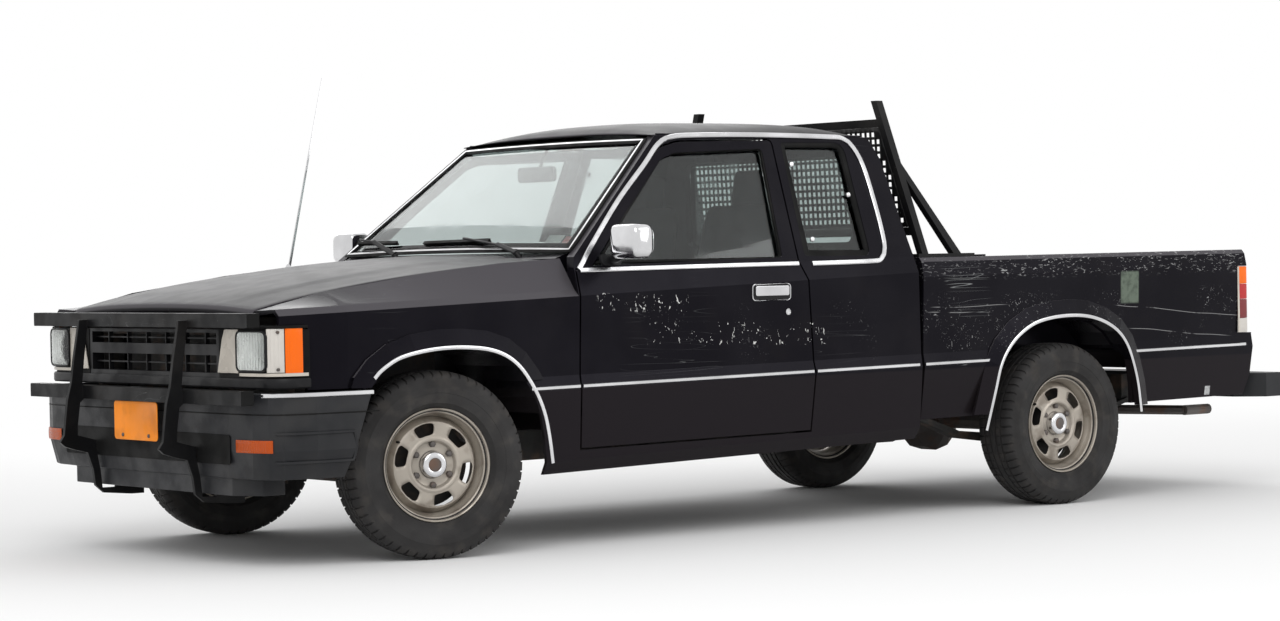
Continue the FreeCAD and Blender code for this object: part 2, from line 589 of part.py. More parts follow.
def side_glass(name, outline):
    """Glass in a window of the leaning side."""
    middle = S.WallFrame / 2
    stations = []
    for x in cab_stations:
        belt = belt_line(x)
        stations.append((x, [
            (-S.BeltHalf + middle, belt), (-S.RoofHalf + middle, S.RoofEdge),
            (-S.RoofHalf + middle + S.GlassThick, S.RoofEdge), (-S.BeltHalf + middle + S.GlassThick, belt)]))
    return common(name, loft(f"{name}Sheet", stations),
                  prism(f"{name}Edge", SIDE, grown(outline, -S.Seat), 0, FAR))


glass = node("door_glass_left", side_glass("DoorGlass", DOOR_WINDOW))
node("door_glass_right", mirror("DoorGlassRight", glass), False)
quarter = side_glass("QuarterGlass", QUARTER_WINDOW)
node("quarter_windows", fuse("QuarterWindows", quarter, mirror("QuarterGlassRight", quarter)))

# Floor, firewall with cowl, roof and cab back.
floor_narrow, floor_wide = inner_half - S.Gap, inner_half - S.Seat
floor = prism("FloorPan", PLAN, [
    (530.3, -floor_narrow), (S.DoorRear + 20, -floor_narrow), (S.DoorRear + 20, -floor_wide),
    (S.CabRear - 60.3, -floor_wide), (S.CabRear - 60.3, floor_wide), (S.DoorRear + 20, floor_wide),
    (S.DoorRear + 20, floor_narrow), (530.3, floor_narrow)], 412, 436)
tunnel = prism("Tunnel", ACROSS, [(-190, 436), (-150, 530, 30), (150, 530, 30), (190, 436)], 530.3, S.CabRear - 60.3)
tunnel_space = prism("TunnelSpace", ACROSS, [(-170, 300), (-170, 436), (-134, 508, 20), (134, 508, 20), (170, 436),
                                             (170, 300)], 400, S.CabRear + 10)
node("cab_floor", cut("CabFloor", fuse("FloorWithTunnel", floor, tunnel), tunnel_space))
fender_spaces = [box(f"FenderSpace{i}", (400, S.DoorFront - S.Gap + 1), (low, low + 60), (940, 1100))
                 for i, low in enumerate((-696.5 - 60, 696.5))]
cowl_corners = [box(f"CowlCorner{i}", (598, 634), (low, low + 22), (979, 1030)) for i, low in enumerate((-716, 694))]
node("cowl", cut("Cowl", fuse("CowlWithCorners", prism("CowlBox", SIDE, [
    (505, 412), (530, 412), (530, 905), (640, 930), (628, 1030), (600, 1040), (542, 1018), (536, 996), (512, 990),
    (505, 960)], -floor_narrow, floor_narrow), *cowl_corners), tunnel_space, *fender_spaces))
ROOF_STATIONS = (
    # along X, top at the middle
    (1062, 1476), (1130, 1506), (1300, 1527), (1700, 1533), (1960, 1528), (2060, 1512), (2124, 1482),
)
roof = loft("Roof", [(x, [
    (-S.RoofHalf, S.RoofEdge + 0.1), (-S.RoofHalf + 12, S.RoofEdge + 8), (-430, top - (top - S.RoofEdge) * 0.4),
    (0, top), (430, top - (top - S.RoofEdge) * 0.4), (S.RoofHalf - 12, S.RoofEdge + 8),
    (S.RoofHalf, S.RoofEdge + 0.1),
    (S.RoofHalf - 60, S.RoofEdge + 0.1), (420, S.RoofEdge + (top - S.RoofEdge) * 0.3),
    (-420, S.RoofEdge + (top - S.RoofEdge) * 0.3), (-S.RoofHalf + 60, S.RoofEdge + 0.1)])
    for x, top in ROOF_STATIONS])
node("roof_panel", roof)
back = prism("BackPanel", SIDE, [
    (S.CabRear - 60, 412), (S.CabRear, 412), (S.CabRear, 1000), (S.CabRear - 60, S.RoofEdge),
    (S.CabRear - 110, S.RoofEdge), (S.CabRear - 60, 1000)], -FAR, FAR)
REAR_WINDOW = [(-520, 1050, 40), (-470, 1395, 40), (470, 1395, 40), (520, 1050, 40)]
rear_hole = prism("RearHole", ACROSS, REAR_WINDOW, 1900, 2300)
node("cab_back", cut("CabBack", common("BackInCab", back, cab_space), rear_hole, tunnel_space))
rear_sheet = prism("RearSheet", SIDE, [
    (S.CabRear - 28, 1000), (S.CabRear - 28 + S.GlassThick, 1000),
    (S.CabRear - 88 + S.GlassThick, S.RoofEdge), (S.CabRear - 88, S.RoofEdge)], -FAR, FAR)
node("rear_window", common("RearWindow", rear_sheet, prism("RearEdge", ACROSS, grown(REAR_WINDOW, -S.Seat), 1900, 2300)))
screen = prism("ScreenSheet", SIDE, [(590, 1046), (1052, 1443), (1056, 1438), (594, 1041)], -FAR, FAR)
node("windscreen", common("Windscreen", screen, cab_space))

# Front fenders with their inner arches.
FRONT_ARCH = [
    (-455, 240), (-326, 600), (-288, 642), (-225, 683), (-145, 708), (-50, 720), (50, 721), (150, 711), (225, 687),
    (282, 647), (326, 594), (362, 535), (388, 470), (405, 390), (420, 240),
]
FENDER_STATIONS = (
    # along X, half width at the shoulder, half width at the hood's seam, height of the seam
    (-650, 778, 626, 862), (-400, 806, 650, 920), (0, 812, 668, 975), (300, 812, 684, 1004), (559, 812, 698, 1018),
)
stations = []
for x, half, seam, seam_top in FENDER_STATIONS:
    trim, shoulder, sill = trim_line(x), shoulder_line(x), sill_line(x)
    stations.append((x, [
        (-seam - S.Gap / 2, seam_top), (-half + 26, shoulder + 22), (-half, shoulder),
        (-half + 9, trim + 50), (-half, trim), (-half + 12, sill + 45), (-half + 42, sill),
        (-half + 56, sill), (-half + 26, sill + 45), (-half + 14, trim), (-half + 23, trim + 50), (-half + 14, shoulder - 4),
        (-half + 36, shoulder + 10), (-seam - S.Gap / 2, seam_top - 18)]))
fender_skin = loft("FenderSkin", stations)
FENDER_OUTLINE = [
    (-650, 806), (-650, 1200), (S.DoorFront - S.Gap, 1200), (S.DoorFront - S.Gap, 150), (300, 150), (300, 598),
    (-545, 598), (-545, 806),
]
arch_hole = prism("ArchHole", SIDE, FRONT_ARCH, 0, FAR)


def flare_stations(arch):
    """The sections of an arch's swelling, from the body's side out to its lip."""
    return [(S.BodyHalf - 14, grown(arch, S.FlareReach)), (S.BodyHalf - 1, grown(arch, S.FlareReach)),
            (S.BodyHalf + S.FlareRise, grown(arch, 12))]


fender_sheet = cut("FenderSheet", common("FenderPanel", fender_skin, prism("FenderOutline", SIDE, FENDER_OUTLINE, 0, FAR)),
                   arch_hole)
flare = cut("Flare", loft("FlareBlock", flare_stations(FRONT_ARCH), SIDE),
            prism("FlareHole", SIDE, FRONT_ARCH, 0, FAR), box("FlareFloor", (-FAR, FAR), (-FAR, 0), (0, 598)))
liner = cut("Liner", prism("LinerBlock", SIDE, grown(FRONT_ARCH, 12), 442, S.BodyHalf - 14),
            prism("LinerHole", SIDE, FRONT_ARCH, 0, FAR), box("LinerFloor", (-FAR, FAR), (-FAR, 0), (0, 480)))
fender_left = node("fender_left", fuse("FenderLeft", fender_sheet, flare, liner))
node("fender_right", mirror("FenderRight", fender_left), False)

# Hood: side profiles at both edges and a raised middle one.
HOOD_LINE = ((-662, 822), (-656, 858), (-620, 872), (-480, 904), (-91, 964), (250, 999), (505, 1013))
hood_stations = []
for y, rise in ((-700, 0), (0, 20), (700, 0)):
    top = [(x, z + rise) for x, z in HOOD_LINE]
    hood_stations.append((y, top + [(505, 991 + rise), (250, 977 + rise), (-91, 942 + rise), (-480, 880 + rise),
                                    (-620, 846 + rise), (-640, 822 + rise)]))
hood_skin = loft("HoodSkin", hood_stations, "XZ_Plane")
hood_plan = prism("HoodPlan", PLAN, [
    (-670, -624), (505, -694), (505, 694), (-670, 624)], 700, 1200)
hood_pins = rod("HoodPins", "y", (S.HoodRear - 6, -697.6, S.HoodHinge), 4, 697.6 * 2)
pin_space = box("HoodPinSpace", (0, 600), (-680, 680), (900, 1100))
node("hood", fuse("HoodWithPins", common("Hood", hood_skin, hood_plan), cut("HoodPin", hood_pins, pin_space)))

# Grille, radiator support and lamps.
GRILLE_HOLES = (
    # bottom, top
    (654, 713), (750, 789),
)
grille_frame = cut("GrilleFrame", box("GrilleBlock", (-686, -640.3), (-452, 452), (606, 800)),
                   *[box(f"GrilleHole{i}", (-700, -600), (-434, 434), hole) for i, hole in enumerate(GRILLE_HOLES)])
dividers = [box(f"Divider{i}", (-672, -656), (-340 + 135 * i, -335 + 135 * i), (640, 795)) for i in range(6)]
slats = [box(f"Slat{i}", (-668, -656), (-440, 440), (z, z + 5)) for i, z in enumerate((681, 767))]
node("grille", fuse("Grille", grille_frame, *slats, *dividers))
radiator = box("Radiator", (-580, -530), (-inner + 0.3, inner - 0.3), (440.3, 780))
tie_panel = box("TiePanel", (-640, -560), (-612, 612), (780, 800))
lamp_posts = [box(f"LampPost{i}", (-640, -560), (low, high), (466, 780)) for i, (low, high) in enumerate((
    (-480, -430), (430, 480)))]
node("radiator_support", fuse("RadiatorSupport", radiator, tie_panel, *lamp_posts))
lamp = prism("Lamp", PLAN, [
    (-688, -454), (-688, -640), (-676, -730, 20), (-632, -784, 30), (-547, -800), (-547, -770),
    (-620, -742), (-640.3, -640), (-640.3, -454)], 640, 800)
node("headlamps", fuse("Headlamps", lamp, mirror("LampRight", lamp)))

# Front bumper, brush guard and the blank plate.
BUMPER_HALF = (
    # along X, out from the centre line
    (-722, 560), (-712, 700), (-690, 765), (-655, 803), (-540, 828), (-300, 832), (-300, 806), (-540, 800),
    (-634, 778), (-664, 745), (-684, 690), (-690, 560),
)
bumper_stations = []
for z, back, inward in ((305, 14, 24), (400, 0, 0), (592, 0, 0)):
    half = [(x + back * (x < -600), y - inward) for x, y in BUMPER_HALF]
    bumper_stations.append((z, [(x, -y) for x, y in half] + [(x, y) for x, y in reversed(half)]))
bumper_block = loft("BumperBlock", bumper_stations, PLAN)
VALANCE = ((-560, 652), (-640, 640), (-700, 545))
valance_line = [(x, -y) for x, y in VALANCE] + [(x, y) for x, y in reversed(VALANCE)]
valance = prism("Valance", PLAN, valance_line + [(x + 9 * (x < -600), y - (8 if y > 0 else -8))
                                                 for x, y in reversed(valance_line)], 246, 315)
bumper_arms = [box(f"BumperArm{i}", (-700, -640.3), (y - 25, y + 25), (370, 450)) for i, y in enumerate((-390, 390))]
node("front_bumper", cut("FrontBumper", fuse("BumperWithArms", bumper_block, valance, *bumper_arms),
                         prism("BumperArch", SIDE, [(-460, 200), (-316, 612), (0, 612), (0, 200)], -FAR, FAR)))
GUARD_ROOT = 640


def drawn_out(x):
    """A place ahead of the guard's root, drawn out as far as the guard reaches."""
    return (S.FrontReach - GUARD_ROOT) * (x + GUARD_ROOT) / 229 - GUARD_ROOT


GUARD_LINE = [
    # down the front of an upright, under the bumper to the frame, and up its back
    (-786, 832), (-790, 800), (-809, 693), (-820, 613), (-837, 550), (-852, 427), (-869, 403), (-850, 386),
    (-812, 374), (-762, 362), (-741, 302), (-733, 244), (-700, 216), (-591, 206), (-540, 206), (-540, 354.7),
    (-640, 354.7), (-652, 234), (-706, 234), (-713, 300), (-728, 372), (-728, 405), (-800, 425), (-800, 452),
    (-788, 540), (-772, 553), (-772, 600), (-778, 612), (-769, 692), (-755, 799), (-748, 808), (-748, 832),
]
guard_outline = [(drawn_out(x) if x < -GUARD_ROOT else x, z) for x, z in GUARD_LINE]
upper_back, lower_back = drawn_out(-754), drawn_out(-777)
upper_bar = box("GuardUpper", (upper_back, upper_back + S.GuardTube), (-S.GuardHalf, S.GuardHalf),
                (808, 808 + S.GuardTube))
lower_bar = box("GuardLower", (lower_back, lower_back + S.GuardTube), (7 - S.GuardHalf, S.GuardHalf - 7),
                (553, 553 + S.GuardTube))
plates = [prism(f"GuardPlate{i}", SIDE, guard_outline, y - S.GuardPlate / 2, y + S.GuardPlate / 2)
          for i, y in enumerate((-S.GuardPost, S.GuardPost))]
foot_plates = [box(f"FootPlate{i}", (-636, -560), (low, low + 110), (340, 354.7)) for i, low in enumerate((-415, 305))]
node("brush_guard", fuse("Guard", upper_bar, lower_bar, *plates, *foot_plates))
node("front_plate", box("FrontPlate", (-768, -765), (-167, 135), (418, 552.7)))

# Load bed: floor with wheel houses and front wall, sides, tailgate and rear lamps.
REAR_ARCH = [
    (2490, 240), (2530, 365), (2566, 470), (2598, 565), (2640, 630), (2702, 685), (2785, 727), (2885, 748), (3000, 754),
    (3100, 746), (3190, 721), (3262, 682), (3312, 628), (3346, 555), (3372, 465), (3388, 353), (3398, 240),
]
bed_half = S.BodyHalf - S.BedWall
rear_space = prism("RearArchSpace", SIDE, grown(REAR_ARCH, -6), 560, FAR)
house = prism("WheelHouse", SIDE, [(x, z) for x, z, *rest in grown(REAR_ARCH, 10)], 548, bed_half)
floor_block = box("BedFloorPan", (S.BedFront, S.BedRear - 110), (-bed_half, bed_half), (S.BedFloor - 28, S.BedFloor))
front_wall = box("BedFrontWall", (S.BedFront, S.BedFront + 30), (-bed_half, bed_half), (S.BedFloor - 28, 990))
tail_sill = box("TailSill", (S.BedRear - 111, S.BedRear - 60), (-inner_half + S.Seat, inner_half - S.Seat), (500, S.BedFloor))
BED_FEET = ((2255, 406), (2700, 560.3), (3250, 560.3), (3880, 485.3))
bed_feet = [box(f"BedFoot{i}{side}", (x, x + 50), (y, y + 50), (top, S.BedFloor - 30))
            for i, (x, top) in enumerate(BED_FEET) for side, y in enumerate((-415, 365))]
bed_sills = [box(f"BedSill{i}", (x, x + 50), (-540, 540), (S.BedFloor - 60, S.BedFloor - 28))
             for i, (x, top) in enumerate(BED_FEET)]
house_top = cut("HouseTop", house, box("HouseFloor", (2000, 4000), (-FAR, 0), (0, S.BedFloor - 20)))
left_tub = cut("LeftTub", house_top, rear_space)
tub = cut("Tub", floor_block, rear_space, mirror("RearSpaceRight", rear_space))
node("bed_floor", fuse("Bed", tub, left_tub, mirror("RightTub", left_tub), front_wall, tail_sill, *bed_feet,
                          *bed_sills))
bed_stations = []
for x in (S.BedFront, S.BedRear + 8):
    trim, top, low = trim_line(x), rail_line(x), 345 + length(x) * 0.0125
    shoulder = 896.5 + length(x) * 0.0108
    bed_stations.append((x, [
        (-S.BodyHalf + 32, low), (-S.BodyHalf, trim), (-S.BandHalf, trim + 50), (-S.BodyHalf, shoulder),
        (-S.BodyHalf + 10, top - 16), (-S.BodyHalf + 24, top), (-bed_half, top), (-bed_half, S.BedFloor - 28),
        (-S.BodyHalf + 24, S.BedFloor - 60), (-S.BodyHalf + 48, low)]))
bed_skin = loft("BedSkin", bed_stations)
BEDSIDE_OUTLINE = [
    (S.BedFront, 200), (S.BedFront, 1200), (S.BedRear - 34, 1200), (S.BedRear - 30, 930), (S.BedRear + 3, 660),
    (S.BedRear, 480), (S.BedRear - 62, 300), (S.BedRear - 62, 200),
]
lamp_notch = box("LampNotch", (S.BedRear - 84, S.BedRear + 60), (-FAR, -S.BodyHalf + 105), (655, 934))
bed_sheet = cut("BedSheet", common("BedPanel", bed_skin, prism("BedOutline", SIDE, BEDSIDE_OUTLINE, 0, FAR)),
                prism("RearArchHole", SIDE, REAR_ARCH, 0, FAR), lamp_notch)
rear_flare = cut("RearFlare", loft("RearFlareBlock", flare_stations(REAR_ARCH), SIDE),
                 prism("RearFlareHole", SIDE, REAR_ARCH, 0, FAR), box("RearFlareFloor", (2000, 4000), (-FAR, 0), (0, 380)))
gate_post = fuse("GatePost", box("PostLow", (S.BedRear - 110, S.BedRear - 20), (-bed_half - 1, -inner_half), (540, 655)),
                 box("PostHigh", (S.BedRear - 110, S.BedRear - 84), (-bed_half - 1, -inner_half), (655, 985)))
bedside_left = node("bedside_left", fuse("BedsideLeft", bed_sheet, rear_flare, gate_post))
node("bedside_right", mirror("BedsideRight", bedside_left), False)
tail_lamp = box("TailLamp", (S.BedRear - 83.7, S.BedRear - 8), (-S.BodyHalf + 3, -S.BodyHalf + 104.7), (655.3, 933.7))
node("tail_lamps", fuse("TailLamps", tail_lamp, mirror("TailLampRight", tail_lamp)))
gate_half = inner_half - S.Gap
gate_pin = rod("GatePins", "y", (S.BedRear - S.GateHingeIn, S.Seat - inner_half, S.GateHinge), 9,
               (inner_half - S.Seat) * 2)
gate = prism("Tailgate", SIDE, [
    (S.BedRear - 50, S.BedFloor - 20), (S.BedRear - 50, 985), (S.BedRear - 34, 992), (S.BedRear - 18, 985),
    (S.BedRear - 4, S.BedFloor - 20), (S.BedRear - 16, S.BedFloor - 50), (S.BedRear - 44, S.BedFloor - 50)],
    -gate_half, gate_half)
node("tailgate", fuse("TailgateWithPins", gate, gate_pin))
step_back = S.Wheelbase + S.RearReach
STEP_HALF = (
    # along X, out from the centre line
    (step_back - 188, 690), (step_back - 104, 800), (step_back, 800), (step_back, 560), (step_back - 36, 535),
)
step_line = [(x, -y) for x, y in STEP_HALF] + [(x, y) for x, y in reversed(STEP_HALF)]
step = cut("StepBumper", prism("StepBlock", PLAN, step_line, 380, 480),
           prism("StepInside", PLAN, grown(step_line, -6), 370, 470))
hitch = box("HitchBlock", (step_back - 100, step_back - 40), (-45, 45), (380, 475))
brackets = [box(f"BumperBracket{i}", (3990, 4112), (y - 25, y + 25), (400, 470)) for i, y in enumerate((-445.3, 445.3))]
ball_hole = doc.addObject("Part::Cylinder", "BallHole")
bind(ball_hole, Radius=12.7, Height=200, Placement__Base__x=step_back - 68, Placement__Base__z=350)
node("rear_bumper", cut("RearBumper", fuse("BumperWithBrackets", step, hitch, *brackets), ball_hole))

# Rack over the bed's front corners.
def rack_place(z):
    """How far along, and from the centre line, the uprights' front stands at a height."""
    rise = (length(z) - S.RackBase) / (S.RackTop - S.RackBase)
    return S.RackFront - S.RackLean * rise, S.RackHalf - (S.RackHalf - S.RackTopHalf) * rise


def rack_section(z, front, back):
    """A section of an upright or a brace between two distances behind the uprights' front."""
    x, y = rack_place(z)
    half = S.RackTube / 2
    return z, [(x + front, -y - half), (x + back, -y - half), (x + back, -y + half), (x + front, -y + half)]


def rack_bar(name, low, high, back):
    """The outline, seen from the side, of a piece across the rack between two heights."""
    (low_x, low_y), (high_x, high_y) = rack_place(low), rack_place(high)
    return prism(name, SIDE, [(low_x, low), (low_x + back, low), (high_x + back, high), (high_x, high)], -FAR, FAR)


upright = loft("RackUpright", [rack_section(z, 0, S.RackTube) for z in (S.RackBase - 1, S.RackTop)], PLAN)
brace = loft("RackBrace", [rack_section(S.RackBase - 1, 166, 206), rack_section(1365, 2, S.RackTube - 1)], PLAN)
foot = box("RackFoot", (2214, 2510), (-785, -744), (996.7, S.RackBase))
rack_side = fuse("RackSide", upright, brace, foot)
between = [(-rack_place(z)[1], z) for z in (1040, S.RackTop)] + [(rack_place(z)[1], z) for z in (S.RackTop, 1040)]
rack_gap = prism("RackGap", ACROSS, between, 2000, 2400)
cross = common("RackCross", rack_bar("RackCrossBar", 1505, 1505 + S.RackTube, S.RackTube), rack_gap)
low_cross = common("RackLowCross", rack_bar("RackLowBar", 1082, 1082 + S.RackTube, S.RackTube), rack_gap)
node("rack_frame", fuse("Rack", rack_side, mirror("RackSideRight", rack_side), cross, low_cross))
mesh_gap = prism("MeshGap", ACROSS, [
    (y + (S.RackTube / 2 + S.Seat if y.value < 0 else -S.RackTube / 2 - S.Seat), z) for y, z in between], 2000, 2400)
node("rack_mesh", common("RackMesh", rack_bar("RackSheet", 1082 + S.RackTube + S.Seat, 1505 - S.Seat, 4), mesh_gap))

# Mirrors, wipers and antenna.
mirror_head = prism("MirrorHead", PLAN, [(640, -835, 10), (625, -975, 30), (700, -985, 30), (790, -965, 20),
                                        (790, -835, 10)], 1021, 1126)
mirror_foot = prism("MirrorFoot", ACROSS, [(-784.8, 985), (-800, 985), (-850, 1030), (-850, 1060), (-755.8, 1060)], 690, 760)
left_mirror = node("mirror_left", fuse("MirrorLeft", mirror_head, mirror_foot))
node("mirror_right", mirror("MirrorRight", left_mirror), False)
blades = [prism(f"WiperBlade{i}", SIDE, [(604, 1076), (596, 1070), (566, 1040), (574, 1036)], low, low + 420)
          for i, low in enumerate((-40, -620))]
pivots = [rod(f"WiperPivot{i}", "z", (566, -low - 400, 1029.6), 6, 12) for i, low in enumerate((-40, -620))]
node("wipers", fuse("Wipers", *blades, *pivots))
mast = prism("Antenna", SIDE, [(311, 985), (321, 985), (488, 1733), (485, 1733)], -724, -718)
antenna_foot = prism("AntennaFoot", ACROSS, [(709, 983.4), (733, 957.4), (733, 990), (709, 1004)], 304, 328)
node("antenna", fuse("AntennaWithFoot", mast, antenna_foot))

# Seats, dashboard with column, and steering wheel.
seat = prism("Seat", SIDE, [
    (1150, 560, 30), (1150, 680, 50), (1560, 640, 40), (1680, 1230, 30), (1780, 1230, 30), (1700, 560, 30)], 110, 640)
seat_base = box("SeatBase", (1220, 1640), (-600, -230), (436.3, 560))
seat_left = fuse("SeatLeft", seat, seat_base)
node("seats", fuse("Seats", seat_left, mirror("SeatRight", seat_left)))
dash = prism("Dash", SIDE, [(640.4, 700, 20), (640.4, 960), (760, 985, 40), (880, 930, 60), (880, 760, 30)],
             -floor_narrow, floor_narrow)
slope = S.ColumnAngle
column = rod("Column", "z", (0, 0, 0), 32, 190)
shell = Rotation(Vector(0, 1, 0), 65)
column.Placement = Placement(Vector(), shell)
bind(column, Placement__Rotation__Angle=90 - slope, Placement__Base__x=S.SteerWheelX - 235 * cosine(slope),
     Placement__Base__y=-S.SteerWheelY, Placement__Base__z=S.SteerWheelZ - 235 * sine(slope))
node("dashboard", fuse("DashWithColumn", dash, column))
ring = cut("SteeringRing", facetted("RingOutside", "z", 20, [(-12, 192), (0, 201), (12, 192)]),
           facetted("RingInside", "z", 20, [(-12.1, 184), (0, 175), (12.1, 184)]))
hub = rod("SteeringHub", "z", (0, 0, -44), 30, 34)
spokes = [box("SpokeWide", (-178, 178), (-16, 16), (-22, -10)), box("SpokeLow", (-20, 178), (-14, 14), (-22, -10))]
spokes[1].Placement = Placement(Vector(), Rotation(Vector(0, 0, 1), 90))
bind(spokes[1], Placement__Base__x=14, Placement__Base__y=-20)
link = [box(f"SpokeEnd{i}", x, y, (-22, 0)) for i, (x, y) in enumerate((
    ((172, 186), (-16, 16)), ((-186, -172), (-16, 16)), ((-14, 14), (145, 186))))]
steering = node("steering_wheel", fuse("SteeringWheel", ring, hub, *spokes, *link), False)
steering.Placement = Placement(Vector(), shell)
bind(steering, Placement__Rotation__Angle=90 - slope, Placement__Base__x=SHIFT + S.SteerWheelX,
     Placement__Base__y=-S.SteerWheelY, Placement__Base__z=S.SteerWheelZ)


# Every feature has to build, and every finished piece has to be one or more sound solids, before a file is written.
doc.recompute()
for thing in doc.Objects:
    if "Invalid" in thing.State or "Error" in thing.State:
        raise RuntimeError(f"{thing.Name} did not build: {thing.State}")
os.makedirs("parts", exist_ok=True)
for label, thing in NODES.items():
    shape = thing.Shape
    if shape.isNull() or not shape.isValid() or not shape.Solids:
        raise RuntimeError(f"{label} is not a sound solid")
for label, thing in NODES.items():
    thing.Shape.exportStep(f"parts/{label}.step")
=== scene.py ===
import json
import logging
import math
from collections.abc import Callable, Iterator, Mapping, Sequence
from dataclasses import dataclass, field, replace
from enum import Enum, IntEnum, auto

import bmesh
import bpy
from mathutils import Matrix, Vector

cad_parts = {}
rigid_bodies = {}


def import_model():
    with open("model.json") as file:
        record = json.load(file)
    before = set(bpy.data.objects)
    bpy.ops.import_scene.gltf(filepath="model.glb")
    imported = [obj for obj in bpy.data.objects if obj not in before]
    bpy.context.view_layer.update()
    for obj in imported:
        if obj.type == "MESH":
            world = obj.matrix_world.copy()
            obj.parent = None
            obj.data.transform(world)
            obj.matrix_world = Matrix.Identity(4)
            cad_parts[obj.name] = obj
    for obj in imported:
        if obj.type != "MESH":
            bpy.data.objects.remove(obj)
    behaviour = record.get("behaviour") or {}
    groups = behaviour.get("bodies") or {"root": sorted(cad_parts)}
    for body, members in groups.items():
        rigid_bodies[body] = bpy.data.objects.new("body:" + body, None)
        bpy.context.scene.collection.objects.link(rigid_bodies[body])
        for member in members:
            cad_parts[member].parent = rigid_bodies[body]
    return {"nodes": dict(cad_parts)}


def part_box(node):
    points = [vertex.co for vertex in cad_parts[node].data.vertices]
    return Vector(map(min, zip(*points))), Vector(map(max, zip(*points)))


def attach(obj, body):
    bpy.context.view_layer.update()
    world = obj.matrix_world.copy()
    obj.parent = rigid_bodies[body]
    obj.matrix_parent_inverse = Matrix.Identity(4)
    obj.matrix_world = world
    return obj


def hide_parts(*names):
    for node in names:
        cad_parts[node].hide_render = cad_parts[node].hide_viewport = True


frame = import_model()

logging.basicConfig(level=logging.INFO, format="%(message)s")
log = logging.getLogger("pickup")

Point = tuple[float, float, float]
Flat = tuple[float, float]
Outline = tuple[Flat, ...]
Block = tuple[Flat, Flat, float]
Colour = tuple[float, float, float]
Socket = bpy.types.NodeSocket

WHEELBASE = 2.985
SHIFT = sum(corner[0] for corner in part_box("wheel_rear_left")) / 2 - WHEELBASE
CORNER_STEPS = 5
FLECK_EDGE = (0.665, 0.69)
BOX_SECTION = ((-1, 0), (-1, 0.55), (-0.7, 1), (0.7, 1), (1, 0.55), (1, 0))
SCREEN_OUT = Vector((-0.65, 0, 0.76))
SILL, TRIM, SHOULDER, BELT = ((253.5, 0.0216), (552.0, 0.011), (866.0, 0.0335), (963.0, 0.0165))
BELT_HALF, EAVE_HALF, EAVE = 788.0, 598.0, 1462.0


class Side(IntEnum):
    """The truck's sides, each with its sign along Y."""

    LEFT = -1
    RIGHT = 1

    @property
    def hand(self) -> str:
        """The side's name, as the names of pieces end."""
        return self.name.lower()

    @property
    def out(self) -> Vector:
        """The direction outward from the upright side."""
        return Vector((0, float(self), 0))

    @property
    def window_out(self) -> Vector:
        """The direction outward from the leaning windows."""
        return Vector((0, self * 0.93, 0.366))

    @property
    def turn(self) -> float:
        """The degrees by which a form that is modelled for the left side is turned about Z."""
        return 90.0 * (1 + self)


class Axis(IntEnum):
    """The frame's axes, as a shader tree counts them."""

    ALONG = 0
    ACROSS = 1
    HEIGHT = 2


class Arithmetic(Enum):
    """The steps of arithmetic that shader trees are wired with."""

    ADD = auto()
    SUBTRACT = auto()
    MULTIPLY = auto()
    ABSOLUTE = auto()
    SINE = auto()
    MAXIMUM = auto()


class Tread(Enum):
    """What a line round the tyre runs along, with its depth in metres at each step along a block."""

    PLAIN = (0.0, 0.0, 0.0, 0.0)
    RIB = (0.003, 0.003, 0.0, 0.0)
    GROOVE = (0.007, 0.007, 0.007, 0.007)
    BLOCK = (0.006, 0.006, 0.0, 0.0)


def spot(x: float, y: float, z: float) -> Vector:
    """Give a place that was measured in millimetres from the front axle in the frame's metres."""
    return Vector((x / 1000 + SHIFT, y / 1000, z / 1000))


def polar(radius: float, angle: float, y: float = 0.0) -> Vector:
    """Give a place from its distance from the Y axis, its angle round it and its place along it."""
    return Vector((radius * math.cos(angle), y, radius * math.sin(angle)))


def turns(count: int) -> list[float]:
    """Divide a full turn into equal angles."""
    return [2 * math.pi * i / count for i in range(count)]


def facing(place: Vector, degrees: float, axis: str = "Z") -> Matrix:
    """Give the matrix that turns a form about an axis and moves it to a place."""
    return Matrix.Translation(place) @ Matrix.Rotation(math.radians(degrees), 4, axis)


